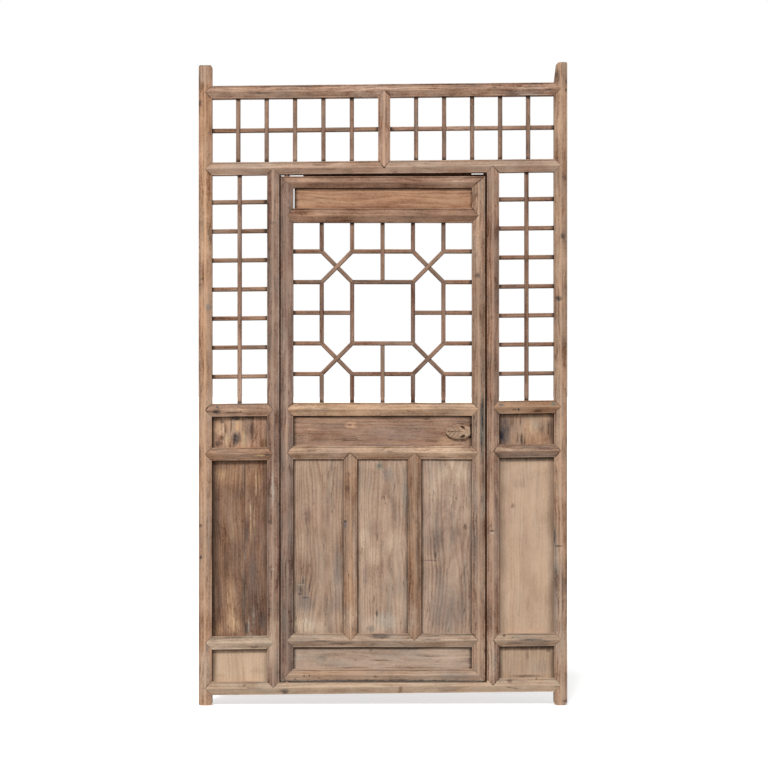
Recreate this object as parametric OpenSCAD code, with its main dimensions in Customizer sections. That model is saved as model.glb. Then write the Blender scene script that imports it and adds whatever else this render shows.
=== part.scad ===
// Lattice door of aged wood, hung in its own frame with two side bays and a transom.
// X runs across the face, the face looks towards -Y, Z is up, and the origin is on the floor at mid width.

/* [Frame] */
// Width over the two posts
frame_w = 1440; // [1380:5:1600]
// Depth of the frame, from the crest of its face to its back
frame_d = 55; // [52:1:70]
// Length of the left horn, above the head rail
left_horn = 81; // [40:1:140]
// Length of the right horn, above the head rail
right_horn = 79; // [40:1:140]
// Face width of the posts
post_w = 51; // [44:1:60]
// Face width of the head rail and the transom rail
frame_rail_w = 50; // [44:1:58]
// Face width of the sill
sill_w = 52; // [46:1:58]
// Face width of the two jambs
jamb_w = 48; // [42:1:56]
// Face width of the mullion between the transom lights
mullion_w = 48; // [42:1:56]
// Face width of the rails in the side bays
side_rail_w = 51; // [44:1:56]
// Slope of the racked frame, rising to the right, in degrees
rack = 0.6; // [0:0.1:0.8]
// Bevel on the corners of the left foot
left_foot_bevel = 5; // [1:0.5:10]
// Bevel on the corners of the right foot
right_foot_bevel = 9; // [1:0.5:12]
// How far the right horn narrows on its inner side
horn_taper = 10; // [0:1:14]

/* [Frame heights] */
// Height of the head rail's axis at mid width
head_z = 2402; // [2340:1:2410]
// Height of the transom rail's axis at mid width
transom_z = 2103; // [2060:1:2140]
// Height of the sill's axis at mid width
sill_z = 73; // [60:1:78]
// Level of the worn threshold between the jambs
threshold_z = 89; // [84:1:90]
// Height of the upper side rails at mid width
side_upper_z = 1160; // [1120:1:1240]
// Height of the middle side rails at mid width
side_middle_z = 988; // [920:1:1010]
// Height of the lower side rails at mid width
side_lower_z = 250.5; // [230:0.5:300]
// Place of the mullion across the width
mullion_x = 4.5; // [-20:0.5:20]

/* [Doorway] */
// Clear width between the jambs
doorway_w = 811; // [770:1:840]
// Place of the doorway's middle across the width
doorway_x = 0.5; // [-10:0.5:10]
// Gap between the left jamb and the leaf
hinge_gap = 5.5; // [5:0.1:8]
// Gap between the leaf and the right jamb
closing_gap = 6.8; // [3:0.1:9]
// Gap between the leaf and the transom rail, above the hanging stile
head_gap = 6.3; // [4:0.1:10]
// Gap between the leaf and the threshold
threshold_gap = 6.7; // [4:0.1:10]

/* [Leaf] */
// Depth of the leaf, from the crest of its face to its back
leaf_d = 40; // [38:1:42]
// How far the leaf's crest sits behind the frame's crest
leaf_set = 2.5; // [1:0.5:3]
// Face width of the hanging stile
hanging_stile_w = 48.8; // [44:0.1:54]
// Face width of the closing stile
closing_stile_w = 52; // [44:0.5:56]
// Face width of the top and bottom rails
end_rail_w = 46; // [42:1:54]
// Face width of the rail above the lattice
upper_rail_w = 56; // [46:1:60]
// Face width of the rails above and below the waist panel
middle_rail_w = 52; // [44:1:58]
// Face width of the rail below the field panels
lower_rail_w = 54; // [44:1:58]
// Face width of the two muntins
muntin_w = 53; // [44:1:60]
// Height of the opening for the frieze panel
frieze_h = 79.5; // [60:0.5:100]
// Height of the lattice opening
lattice_h = 703; // [640:1:760]
// Height of the opening for the waist panel
waist_h = 118; // [105:1:150]
// Height of the opening for the bottom panel
base_h = 85; // [70:1:120]

/* [Moulding] */
// Width of the bead along each edge of a face
bead_w = 5; // [3:0.5:7]
// Width of the groove beside the bead
quirk_w = 0.8; // [0.5:0.1:1.5]
// Depth of the groove beside the bead
quirk_d = 1.2; // [0.6:0.1:1.6]
// Slope of the face from the crest to the bead, in degrees
ridge_angle = 11.5; // [8:0.5:13]

/* [Joints] */
// Depth of the mitred front layer behind the bead
mitre_d = 14; // [10:0.5:15]
// Hairline between the mitred shoulders
joint_gap = 0.2; // [0.1:0.05:0.4]
// Length of the tenons
tenon_l = 30; // [20:1:34]
// Thickness of the tenons
tenon_t = 10; // [6:0.5:12]
// How far a tenon is set in from the edges of its rail
tenon_set = 11; // [10:0.5:14]
// Clearance in mortises, grooves and seats
fit = 0.2; // [0.1:0.05:0.3]

/* [Panels] */
// Thickness of the panels
panel_t = 10; // [7:0.5:11]
// Depth of the panel grooves
groove_d = 8; // [6:0.5:9]
// How far the side panels sit behind the bead
side_recess = 16; // [10:0.5:17]
// How far the frieze, waist and bottom panels sit behind the bead
leaf_recess = 10; // [5:0.5:12]
// How far the field panels sit behind the bead
field_recess = 7; // [4:0.5:10]
// Slit where the frieze panel has shrunk away from the hanging stile
frieze_slit = 4; // [2:0.5:10]
// Place of the seam in the left waist panel, as a share of the opening's width
waist_seam = 0.546; // [0.3:0.002:0.7]
// Place of the seam in the left tall panel, as a share of the opening's width
tall_seam = 0.597; // [0.3:0.001:0.7]
// Hairline between two boards
seam_gap = 0.3; // [0.1:0.1:0.8]
// Width of the worn notch at the closing end of the waist panel
notch_w = 6; // [3:0.5:9]
// Height of that notch
notch_h = 52; // [30:1:70]
// Depth of that notch
notch_d = 6; // [2:0.5:6.5]
// How far the notch's middle lies above the carved pull's middle
notch_rise = 3; // [-5:1:8]

/* [Lattice] */
// Width of the lattice bars
bar_w = 17; // [13:0.5:20]
// Depth of the lattice bars
bar_d = 20; // [16:0.5:22]
// How far the bars sit behind the bead
bar_recess = 9; // [6:0.5:11]
// Worn bevel on the front edges of the bars
bar_bevel = 3; // [1:0.5:4]
// How deep the bars are seated in the members
bar_seat = 8; // [5:0.5:9]
// Clearance in the half-laps
lap_gap = 0.15; // [0.1:0.05:0.3]
// Number of uprights in each transom light
transom_bars = 5; // [3:1:7]
// Number of crossbars in each side light
side_bars = 7; // [4:1:9]

/* [Pivot] */
// Diameter of the pins at the ends of the hanging stile
pin_d = 22; // [16:1:24]
// Length of a pin inside its socket
pin_in = 20; // [14:1:24]
// Spare depth above the upper pin, to lift the leaf in
pin_lift = 6; // [4:1:7]
// Radial clearance of the pins
pin_clear = 0.08; // [0.03:0.01:0.1]
// How far the pivot axis sits behind the leaf's bead
pivot_set = 13; // [12.5:0.1:13.5]

/* [Draught strips] */
// Thickness of the strip on the hinge side
hinge_strip_t = 4.5; // [2:0.5:4.5]
// Width of the strip on the closing side
closing_strip_w = 12; // [9:0.5:20]
// Height of the strip under the transom rail
head_strip_h = 22; // [18:1:30]
// Distance of that strip from the left jamb
head_strip_left = 92; // [40:1:140]
// Height of the slit left open above its closing end
head_slit_h = 4; // [2:0.5:10]
// Length of that slit, from the strip's closing end
head_slit_l = 46; // [20:1:90]
// Gap between the leaf and the strips behind it
strip_gap = 0.8; // [0.5:0.1:1.2]
// Gap at the ends of the standing strips
strip_end_gap = 0.6; // [0.3:0.1:1]

/* [Carved pull] */
// Length of the carved leaf
pull_w = 95; // [80:1:110]
// Height of the carved leaf
pull_h = 60; // [46:1:66]
// Thickness of the carved leaf at its crest
pull_t = 14; // [10:0.5:14]
// Radius of the carved leaf's rounded face
pull_crown = 55; // [45:1:80]
// Gap between the carved leaf and the closing stile
pull_gap = 6; // [4:0.5:12]
// How far the carved leaf lies below the waist panel's middle
pull_drop = 3; // [0:1:10]
// Number of lobes on each side
lobes = 5; // [3:1:7]
// Depth of the cuts between the lobes, as a share of the leaf's height
lobe_cut = 0.1; // [0.02:0.01:0.12]
// Depth of the cut veins
vein_d = 1.6; // [0.6:0.2:2]
// Width of the cut veins
vein_w = 2.2; // [1:0.2:3]
// Spacing of the side veins
vein_step = 16; // [12:1:18]
// Lean of the side veins from the midrib, in degrees
vein_lean = 130; // [110:5:145]
// Length of the midrib
midrib_l = 58; // [40:1:64]
// Distance of the midrib from the leaf's tip
midrib_set = 8; // [4:1:14]
// Length of the two pierced eyes
eye_l = 22; // [12:1:26]
// Width of the two pierced eyes
eye_w = 8; // [4:0.5:9]
// Distance of the eyes from the leaf's middle, towards the closing stile
eye_along = 18; // [14:1:22]
// Distance of the eyes from the midrib
eye_off = 17; // [14:0.5:18]
// Slant of the eyes, in degrees
eye_tilt = 27; // [10:1:35]
// Diameter of the round tenon behind the leaf
pull_tenon_d = 14; // [8:1:18]
// How far the tenon stands out behind the panel
pull_tenon_out = 4; // [1:0.5:8]

/* [Hidden] */
$fn = 48;

// Colours of the woods
post_wood = [0.70, 0.56, 0.45];
rail_wood = [0.66, 0.54, 0.46];
jamb_wood = [0.59, 0.47, 0.41];
bar_wood = [0.60, 0.50, 0.44];
stile_wood = [0.62, 0.49, 0.42];
dark_rail_wood = [0.58, 0.45, 0.37];
pale_rail_wood = [0.69, 0.57, 0.47];
panel_wood = [0.66, 0.55, 0.46];
frieze_wood = [0.68, 0.51, 0.40];
brown_wood = [0.53, 0.42, 0.34];
pale_wood = [0.75, 0.64, 0.54];
strip_wood = [0.36, 0.29, 0.24];
pull_wood = [0.70, 0.60, 0.50];

// Section of a moulded face: the rise of the crest over the bead
function crest(w) = (w / 2 - bead_w - quirk_w) * tan(ridge_angle) - quirk_d;

// Section of a moulded member as [across, depth] points
function section(w, y) = [
    [-w / 2, y[2]],
    [-w / 2, y[0]],
    [-w / 2 + bead_w, y[0]],
    [-w / 2 + bead_w + quirk_w, y[0] + quirk_d],
    [0, y[0] - crest(w)],
    [w / 2 - bead_w - quirk_w, y[0] + quirk_d],
    [w / 2 - bead_w, y[0]],
    [w / 2, y[0]],
    [w / 2, y[2]]
];

// Depths of the frame and of the leaf: bead, back of the mitred layer, back
frame_bead = -frame_d / 2 + crest(max(post_w, frame_rail_w, sill_w, jamb_w, mullion_w, side_rail_w));
frame_y = [frame_bead, frame_bead + mitre_d, frame_d / 2];
leaf_crest = -frame_d / 2 + leaf_set;
leaf_bead = leaf_crest + crest(max(hanging_stile_w, closing_stile_w, upper_rail_w, middle_rail_w, muntin_w));
leaf_y = [leaf_bead, leaf_bead + mitre_d, leaf_crest + leaf_d];

// Heights on the racked frame: a line that passes z at mid width, and the edges of a rail on it
function on_slope(z, x) = z + x * tan(rack);
function top_edge(z, w, x) = on_slope(z, x) + w / 2 / cos(rack);
function low_edge(z, w, x) = on_slope(z, x) - w / 2 / cos(rack);

// Places across the frame
post_in = frame_w / 2 - post_w;
left_in = doorway_x - doorway_w / 2;
right_in = doorway_x + doorway_w / 2;
left_out = left_in - jamb_w;
right_out = right_in + jamb_w;
left_post_h = top_edge(head_z, frame_rail_w, -post_in) + left_horn;
right_post_h = top_edge(head_z, frame_rail_w, post_in) + right_horn;
left_bay_x = (left_out - post_in) / 2;
right_bay_x = (right_out + post_in) / 2;

// Rails of the frame: start, end, height at their middle, width, tip lengths
function frame_rail(x0, x1, z, w, t0, t1) = [x0, x1, on_slope(z, (x0 + x1) / 2), w, t0, t1];
function left_rail(z) = frame_rail(-post_in, left_out, z, side_rail_w, post_w / 2, jamb_w / 2);
function right_rail(z) = frame_rail(right_out, post_in, z, side_rail_w, jamb_w / 2, post_w / 2);
head = frame_rail(-post_in, post_in, head_z, frame_rail_w, post_w / 2, post_w / 2);
transom = frame_rail(-post_in, post_in, transom_z, frame_rail_w, post_w / 2, post_w / 2);
sill_line = frame_rail(-post_in, post_in, sill_z, sill_w, post_w / 2, post_w / 2);
side_heights = [side_upper_z, side_middle_z, side_lower_z];
left_rails = [for (z = side_heights) left_rail(z)];
right_rails = [for (z = side_heights) right_rail(z)];

// Uprights of the frame: place, foot, head, width, tip lengths
function jamb_line(x) = [
    x,
    top_edge(sill_z, sill_w, x),
    low_edge(transom_z, frame_rail_w, x),
    jamb_w,
    sill_w / 2,
    frame_rail_w / 2
];
left_jamb_line = jamb_line(left_in - jamb_w / 2);
right_jamb_line = jamb_line(right_in + jamb_w / 2);
mullion_line = [
    mullion_x,
    top_edge(transom_z, frame_rail_w, mullion_x),
    low_edge(head_z, frame_rail_w, mullion_x),
    mullion_w,
    frame_rail_w / 2,
    frame_rail_w / 2
];

// Outline of the leaf and the levels of its openings
leaf_x0 = left_in + hinge_gap;
leaf_x1 = right_in - closing_gap;
hanging_in = leaf_x0 + hanging_stile_w;
closing_in = leaf_x1 - closing_stile_w;
leaf_z0 = threshold_z + threshold_gap;
leaf_z1 = low_edge(transom_z, frame_rail_w, leaf_x0) - head_gap;
base_z0 = leaf_z0 + end_rail_w;
base_z1 = base_z0 + base_h;
field_z0 = base_z1 + lower_rail_w;
frieze_z1 = leaf_z1 - end_rail_w;
frieze_z0 = frieze_z1 - frieze_h;
lattice_z1 = frieze_z0 - upper_rail_w;
lattice_z0 = lattice_z1 - lattice_h;
waist_z1 = lattice_z0 - middle_rail_w;
waist_z0 = waist_z1 - waist_h;
field_z1 = waist_z0 - middle_rail_w;
inner_w = closing_in - hanging_in;
field_w = (inner_w - 2 * muntin_w) / 3;

// Rails and muntins of the leaf
function leaf_rail(z0, w) = [
    hanging_in,
    closing_in,
    z0 + w / 2,
    w,
    hanging_stile_w / 2,
    closing_stile_w / 2
];
upper_line = leaf_rail(lattice_z1, upper_rail_w);
lattice_line = leaf_rail(waist_z1, middle_rail_w);
waist_line = leaf_rail(field_z1, middle_rail_w);
lower_line = leaf_rail(base_z1, lower_rail_w);
leaf_rails = [upper_line, lattice_line, waist_line, lower_line];
function field_x(k) = hanging_in + k * (field_w + muntin_w);
function muntin_line(k) = [
    field_x(k) - muntin_w / 2,
    field_z0,
    field_z1,
    muntin_w,
    lower_rail_w / 2,
    middle_rail_w / 2
];
muntin_lines = [muntin_line(1), muntin_line(2)];

// Panels: opening from x0 to x1 and z0 to z1, then the depth of the face
function bay_panel(x0, x1, low, low_w, high, high_w) = [
    x0,
    x1,
    top_edge(low, low_w, (x0 + x1) / 2),
    low_edge(high, high_w, (x0 + x1) / 2),
    frame_y[0] + side_recess
];
function waist_bay(x0, x1) = bay_panel(x0, x1, side_middle_z, side_rail_w, side_upper_z, side_rail_w);
function tall_bay(x0, x1) = bay_panel(x0, x1, side_lower_z, side_rail_w, side_middle_z, side_rail_w);
function base_bay(x0, x1) = bay_panel(x0, x1, sill_z, sill_w, side_lower_z, side_rail_w);
left_waist = waist_bay(-post_in, left_out);
left_tall = tall_bay(-post_in, left_out);
left_base = base_bay(-post_in, left_out);
right_waist = waist_bay(right_out, post_in);
right_tall = tall_bay(right_out, post_in);
right_base = base_bay(right_out, post_in);
leaf_face = leaf_y[0] + leaf_recess;
field_face = leaf_y[0] + field_recess;
frieze = [hanging_in, closing_in, frieze_z0, frieze_z1, leaf_face];
waist = [hanging_in, closing_in, waist_z0, waist_z1, leaf_face];
base = [hanging_in, closing_in, base_z0, base_z1, leaf_face];
function field(k) = [field_x(k), field_x(k) + field_w, field_z0, field_z1, field_face];
left_panels = [left_waist, left_tall, left_base];
right_panels = [right_waist, right_tall, right_base];
leaf_panels = [frieze, waist, base, field(0), field(1), field(2)];

// Lattice: bars with equal clear cells between them
frame_bar_y = frame_y[0] + bar_recess;
leaf_bar_y = leaf_y[0] + bar_recess;
function bar_at(i, cells, span) = i * (span - (cells - 1) * bar_w) / cells + (i - 0.5) * bar_w;
left_light = [-post_in, mullion_x - mullion_w / 2];
right_light = [mullion_x + mullion_w / 2, post_in];
left_bay = [-post_in, left_out];
right_bay = [right_out, post_in];
light_mid_z = (transom_z + head_z) / 2;
side_low_z = side_upper_z + side_rail_w / 2;
side_span = transom_z - frame_rail_w / 2 - side_low_z;
function light_bar_x(light, i) = light[0] + bar_at(i, transom_bars + 1, light[1] - light[0]);
function side_bar_z(i) = side_low_z + bar_at(i, side_bars + 1, side_span);

// Lattice of the leaf: six by six cells, counted from the upper left corner
cells = 6;
function grid_x(i) = hanging_in + (i == 0 ? 0 : i == cells ? inner_w : bar_at(i, cells, inner_w));
function grid_z(j) = lattice_z1 - (j == 0 ? 0 : j == cells ? lattice_h : bar_at(j, cells, lattice_h));
diagonal_angle = atan2(grid_z(1) - grid_z(2), grid_x(2) - grid_x(1));
mitre_level = bar_w / 2 * tan(diagonal_angle / 2);
mitre_plumb = bar_w / 2 * tan(45 - diagonal_angle / 2);
// Side of a bar on which the square-on bar joins it, for the lines 1, 2, 4 and 5 of the grid
function side_of(k) = k == 1 || k == 4 ? 1 : -1;
function corner_tip(side, at, other) = side == at ? bar_w / 2 : other;

// Pivot and pull
pivot = [leaf_x0 + hanging_stile_w / 2, leaf_y[0] + pivot_set];
pull_x = closing_in - pull_gap - pull_w / 2;
pull_z = (waist_z0 + waist_z1) / 2 - pull_drop;

// An outline in X and Z, made solid from depth y0 to depth y1
module layer(y0, y1) {
    translate([0, y1, 0])
        rotate([90, 0, 0])
            linear_extrude(y1 - y0) children();
}

// Places a rail's own axes at its middle, turned by its slope
module tilted(x, z, slope) {
    translate([x, 0, z])
        rotate([0, -slope, 0]) children();
}

// Moulded stock along X, centred, and along Z, from z0 to z1
module rail_stock(len, w, y) {
    rotate([90, 0, 90])
        linear_extrude(len, center = true)
            polygon([for (p = section(w, y)) [p[1], p[0]]]);
}
module upright_stock(x, z0, z1, w, y) {
    translate([x, 0, z0])
        linear_extrude(z1 - z0) polygon(section(w, y));
}

// Outline of a member with pointed ends, along its own axis, grown by g
function arrow(len, w, t0, t1, g = 0) =
    let (a0 = atan2(w / 2, t0), a1 = atan2(w / 2, t1))
    [
        [-len / 2 - t0 - g / sin(a0), 0],
        [-len / 2, -w / 2 - g / cos(a0)],
        [len / 2, -w / 2 - g / cos(a1)],
        [len / 2 + t1 + g / sin(a1), 0],
        [len / 2, w / 2 + g / cos(a1)],
        [-len / 2, w / 2 + g / cos(a0)]
    ];

function length_of(r) = r[1] - r[0];
function middle_of(r) = (r[0] + r[1]) / 2;
function tenon_y(y) = (y[1] + y[2] - tenon_t) / 2;

// Tenons of a rail, as one bar through it, grown by g
module rail_tenon(r, y, slope, g) {
    len = length_of(r) + 2 * (tenon_l + g);
    h = r[3] - 2 * tenon_set + 2 * g;
    tilted(middle_of(r), r[2], slope)
        translate([-len / 2, tenon_y(y) - g, -h / 2])
            cube([len, tenon_t + 2 * g, h]);
}

// Rail between two upright faces: pointed on the face, square behind, with tenons
module rail(r, y, slope) {
    len = length_of(r);
    w = r[3];
    intersection() {
        tilted(middle_of(r), r[2], slope) rail_stock(len + 2 * w, w, y);
        union() {
            tilted(middle_of(r), r[2], slope)
                layer(y[0] - w, y[1]) polygon(arrow(len, w, r[4], r[5]));
            layer(y[0] - w, y[2] + w)
                translate([r[0], r[2] - 2 * w]) square([len, 4 * w]);
        }
    }
    rail_tenon(r, y, slope, 0);
}

// What rails take away from the uprights they join
module rail_sockets(rails, y, slope) {
    for (r = rails) {
        tilted(middle_of(r), r[2], slope)
            layer(y[0] - r[3], y[1] + joint_gap)
                polygon(arrow(length_of(r), r[3], r[4], r[5], joint_gap));
        rail_tenon(r, y, slope, fit);
    }
}

// Tenons of an upright, as one bar through it, grown by g
module upright_tenon(u, y, g) {
    w = u[3] - 2 * tenon_set + 2 * g;
    translate([u[0] - w / 2, tenon_y(y) - g, u[1] - tenon_l - g])
        cube([w, tenon_t + 2 * g, u[2] - u[1] + 2 * (tenon_l + g)]);
}

// Pointed face of an upright, grown by g
module upright_face(u, g) {
    translate([u[0], (u[1] + u[2]) / 2])
        rotate(90) polygon(arrow(u[2] - u[1], u[3], u[4], u[5], g));
}

// Upright between two rails: pointed on the face, cut to the rails' slope behind, with tenons
module upright(u, y, slope) {
    w = u[3];
    rise = w * tan(slope);
    intersection() {
        upright_stock(u[0], u[1] - w, u[2] + w, w, y);
        union() {
            layer(y[0] - w, y[1]) upright_face(u, 0);
            layer(y[0] - w, y[2] + w)
                polygon([
                    [u[0] - w, u[1] - rise],
                    [u[0] + w, u[1] + rise],
                    [u[0] + w, u[2] + rise],
                    [u[0] - w, u[2] - rise]
                ]);
        }
    }
    upright_tenon(u, y, 0);
}

// What uprights take away from the rails they join
module upright_sockets(uprights, y) {
    for (u = uprights) {
        layer(y[0] - u[3], y[1] + joint_gap) upright_face(u, joint_gap);
        upright_tenon(u, y, fit);
    }
}

// A panel over part of its opening, from xa to xb, and the groove that holds it
module board(p, xa, xb) {
    reach = groove_d - fit;
    translate([xa, p[4], p[2] - reach])
        cube([xb - xa, panel_t, p[3] - p[2] + 2 * reach]);
}
module panel(p) {
    board(p, p[0] - groove_d + fit, p[1] + groove_d - fit);
}
module panel_grooves(panels) {
    for (p = panels)
        translate([p[0] - groove_d, p[4] - fit, p[2] - groove_d])
            cube([p[1] - p[0] + 2 * groove_d, panel_t + 2 * fit, p[3] - p[2] + 2 * groove_d]);
}

// Section of a lattice bar as [across, depth] points, its face at depth y
function bar_section(y) = [
    [-bar_w / 2, y + bar_d],
    [-bar_w / 2, y + bar_bevel],
    [-bar_w / 2 + bar_bevel, y],
    [bar_w / 2 - bar_bevel, y],
    [bar_w / 2, y + bar_bevel],
    [bar_w / 2, y + bar_d]
];

// Straight bars of the frame's lattices, seated in the members at both ends, and their seats
module crossbar(span, z) {
    x = (span[0] + span[1]) / 2;
    tilted(x, on_slope(z, x), rack)
        rotate([90, 0, 90])
            linear_extrude(span[1] - span[0] + 2 * bar_seat, center = true)
                polygon([for (p = bar_section(frame_bar_y)) [p[1], p[0]]]);
}
module crossbar_seat(span, z) {
    x = (span[0] + span[1]) / 2;
    len = span[1] - span[0] + 2 * (bar_seat + fit);
    tilted(x, on_slope(z, x), rack)
        translate([-len / 2, frame_bar_y - fit, -bar_w / 2 - fit])
            cube([len, bar_d + 2 * fit, bar_w + 2 * fit]);
}
module plumb_bar(x, z0, z1) {
    translate([x, 0, z0 - bar_seat])
        linear_extrude(z1 - z0 + 2 * bar_seat) polygon(bar_section(frame_bar_y));
}
module plumb_bar_seat(x, z0, z1) {
    translate([x - bar_w / 2 - fit, frame_bar_y - fit, z0 - bar_seat - fit])
        cube([bar_w + 2 * fit, bar_d + 2 * fit, z1 - z0 + 2 * (bar_seat + fit)]);
}

// Half-laps at a crossing: the upright gives way behind, the crossbar in front
module lap_behind(x, z, y, slope) {
    tilted(x, z, slope)
        translate([-bar_w, y + bar_d / 2, -bar_w / 2 - lap_gap])
            cube([2 * bar_w, bar_d, bar_w + 2 * lap_gap]);
}
module lap_in_front(x, z, y) {
    translate([x - bar_w / 2 - lap_gap, y - bar_d / 2, z - bar_w])
        cube([bar_w + 2 * lap_gap, bar_d, 2 * bar_w]);
}

// Lattice of a transom light
module light_plumb_bar(light, i) {
    x = light_bar_x(light, i);
    plumb_bar(x, top_edge(transom_z, frame_rail_w, x), low_edge(head_z, frame_rail_w, x));
}
module light_seats(light) {
    crossbar_seat(light, light_mid_z);
    for (i = [1:transom_bars]) {
        x = light_bar_x(light, i);
        plumb_bar_seat(x, top_edge(transom_z, frame_rail_w, x), low_edge(head_z, frame_rail_w, x));
    }
}
module light_uprights(light) {
    for (i = [1:transom_bars]) {
        x = light_bar_x(light, i);
        difference() {
            light_plumb_bar(light, i);
            lap_behind(x, on_slope(light_mid_z, x), frame_bar_y, rack);
        }
    }
}
module light_crossbar(light) {
    difference() {
        crossbar(light, light_mid_z);
        for (i = [1:transom_bars]) {
            x = light_bar_x(light, i);
            lap_in_front(x, on_slope(light_mid_z, x), frame_bar_y);
        }
    }
}

// Lattice of a side bay
module side_plumb_bar(x) {
    plumb_bar(x, top_edge(side_upper_z, side_rail_w, x), low_edge(transom_z, frame_rail_w, x));
}
module side_seats(bay, x) {
    for (i = [1:side_bars])
        crossbar_seat(bay, side_bar_z(i));
    plumb_bar_seat(x, top_edge(side_upper_z, side_rail_w, x), low_edge(transom_z, frame_rail_w, x));
}
module side_upright(x) {
    difference() {
        side_plumb_bar(x);
        for (i = [1:side_bars])
            lap_behind(x, on_slope(side_bar_z(i), x), frame_bar_y, rack);
    }
}
module side_crossbars(bay, x) {
    for (i = [1:side_bars])
        difference() {
            crossbar(bay, side_bar_z(i));
            lap_in_front(x, on_slope(side_bar_z(i), x), frame_bar_y);
        }
}

// Posts: moulded stock cut to an outline with bevelled feet, then the sockets
module post_blank(x, outline) {
    intersection() {
        upright_stock(x, 0, max(left_post_h, right_post_h), post_w, frame_y);
        layer(-frame_d, frame_d) polygon(outline);
    }
}
module left_post() color(post_wood)
    difference() {
        post_blank(-frame_w / 2 + post_w / 2, [
            [-frame_w / 2, left_foot_bevel],
            [-frame_w / 2 + left_foot_bevel, 0],
            [-post_in - left_foot_bevel, 0],
            [-post_in, left_foot_bevel],
            [-post_in, left_post_h],
            [-frame_w / 2, left_post_h]
        ]);
        rail_sockets(concat([head, transom, sill_line], left_rails), frame_y, rack);
        panel_grooves(left_panels);
        light_seats(left_light);
        side_seats(left_bay, left_bay_x);
    }
module right_post() color(post_wood)
    difference() {
        post_blank(frame_w / 2 - post_w / 2, [
            [post_in, right_foot_bevel],
            [post_in + right_foot_bevel, 0],
            [frame_w / 2 - right_foot_bevel, 0],
            [frame_w / 2, right_foot_bevel],
            [frame_w / 2, right_post_h],
            [post_in + horn_taper, right_post_h],
            [post_in, top_edge(head_z, frame_rail_w, post_in)]
        ]);
        rail_sockets(concat([head, transom, sill_line], right_rails), frame_y, rack);
        panel_grooves(right_panels);
        light_seats(right_light);
        side_seats(right_bay, right_bay_x);
    }

// Long rails of the frame
module head_rail() color(rail_wood)
    difference() {
        rail(head, frame_y, rack);
        upright_sockets([mullion_line], frame_y);
        light_seats(left_light);
        light_seats(right_light);
    }
module pin_socket(z, depth) {
    translate([pivot[0], pivot[1], z])
        cylinder(h = depth, d = pin_d + 2 * pin_clear);
}
module transom_rail() color(rail_wood)
    difference() {
        rail(transom, frame_y, rack);
        upright_sockets([mullion_line, left_jamb_line, right_jamb_line], frame_y);
        light_seats(left_light);
        light_seats(right_light);
        side_seats(left_bay, left_bay_x);
        side_seats(right_bay, right_bay_x);
        pin_socket(leaf_z1, head_gap + pin_in + pin_lift);
    }
module sill() color(rail_wood)
    difference() {
        rail(sill_line, frame_y, rack);
        upright_sockets([left_jamb_line, right_jamb_line], frame_y);
        panel_grooves([left_base, right_base]);
        translate([left_in, -frame_d, threshold_z]) cube([doorway_w, 2 * frame_d, sill_w]);
        pin_socket(threshold_z - pin_in, pin_in + threshold_gap);
    }

// Standing members between the rails
module mullion() color(rail_wood)
    difference() {
        upright(mullion_line, frame_y, rack);
        crossbar_seat(left_light, light_mid_z);
        crossbar_seat(right_light, light_mid_z);
    }
module left_jamb() color(jamb_wood)
    difference() {
        upright(left_jamb_line, frame_y, rack);
        rail_sockets(left_rails, frame_y, rack);
        panel_grooves(left_panels);
        side_seats(left_bay, left_bay_x);
    }
module right_jamb() color(jamb_wood)
    difference() {
        upright(right_jamb_line, frame_y, rack);
        rail_sockets(right_rails, frame_y, rack);
        panel_grooves(right_panels);
        side_seats(right_bay, right_bay_x);
    }

// Short rails of the side bays
module side_rail(r, panels, bay, x) {
    difference() {
        rail(r, frame_y, rack);
        panel_grooves(panels);
        side_seats(bay, x);
    }
}
module left_upper_rail() color(rail_wood) side_rail(left_rails[0], left_panels, left_bay, left_bay_x);
module left_middle_rail() color(rail_wood) side_rail(left_rails[1], left_panels, left_bay, left_bay_x);
module left_lower_rail() color(rail_wood) side_rail(left_rails[2], left_panels, left_bay, left_bay_x);
module right_upper_rail() color(rail_wood) side_rail(right_rails[0], right_panels, right_bay, right_bay_x);
module right_middle_rail() color(rail_wood) side_rail(right_rails[1], right_panels, right_bay, right_bay_x);
module right_lower_rail() color(rail_wood) side_rail(right_rails[2], right_panels, right_bay, right_bay_x);

// Lattices of the frame
module left_transom_uprights() color(bar_wood) light_uprights(left_light);
module left_transom_crossbar() color(bar_wood) light_crossbar(left_light);
module right_transom_uprights() color(bar_wood) light_uprights(right_light);
module right_transom_crossbar() color(bar_wood) light_crossbar(right_light);
module left_side_upright() color(bar_wood) side_upright(left_bay_x);
module left_side_crossbars() color(bar_wood) side_crossbars(left_bay, left_bay_x);
module right_side_upright() color(bar_wood) side_upright(right_bay_x);
module right_side_crossbars() color(bar_wood) side_crossbars(right_bay, right_bay_x);

// Panels of the side bays, the two on the left made of two boards
function seam_x(p, share) = p[0] + share * (p[1] - p[0]);
module outer_board(p, share) {
    board(p, p[0] - groove_d + fit, seam_x(p, share) - seam_gap / 2);
}
module inner_board(p, share) {
    board(p, seam_x(p, share) + seam_gap / 2, p[1] + groove_d - fit);
}
module left_waist_outer_board() color(panel_wood) outer_board(left_waist, waist_seam);
module left_waist_inner_board() color(panel_wood) inner_board(left_waist, waist_seam);
module left_tall_outer_board() color(brown_wood) outer_board(left_tall, tall_seam);
module left_tall_inner_board() color(brown_wood) inner_board(left_tall, tall_seam);
module left_base_panel() color(pale_wood) panel(left_base);
module right_waist_panel() color(panel_wood) panel(right_waist);
module right_tall_panel() color(pale_wood) panel(right_tall);
module right_base_panel() color(panel_wood) panel(right_base);

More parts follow.
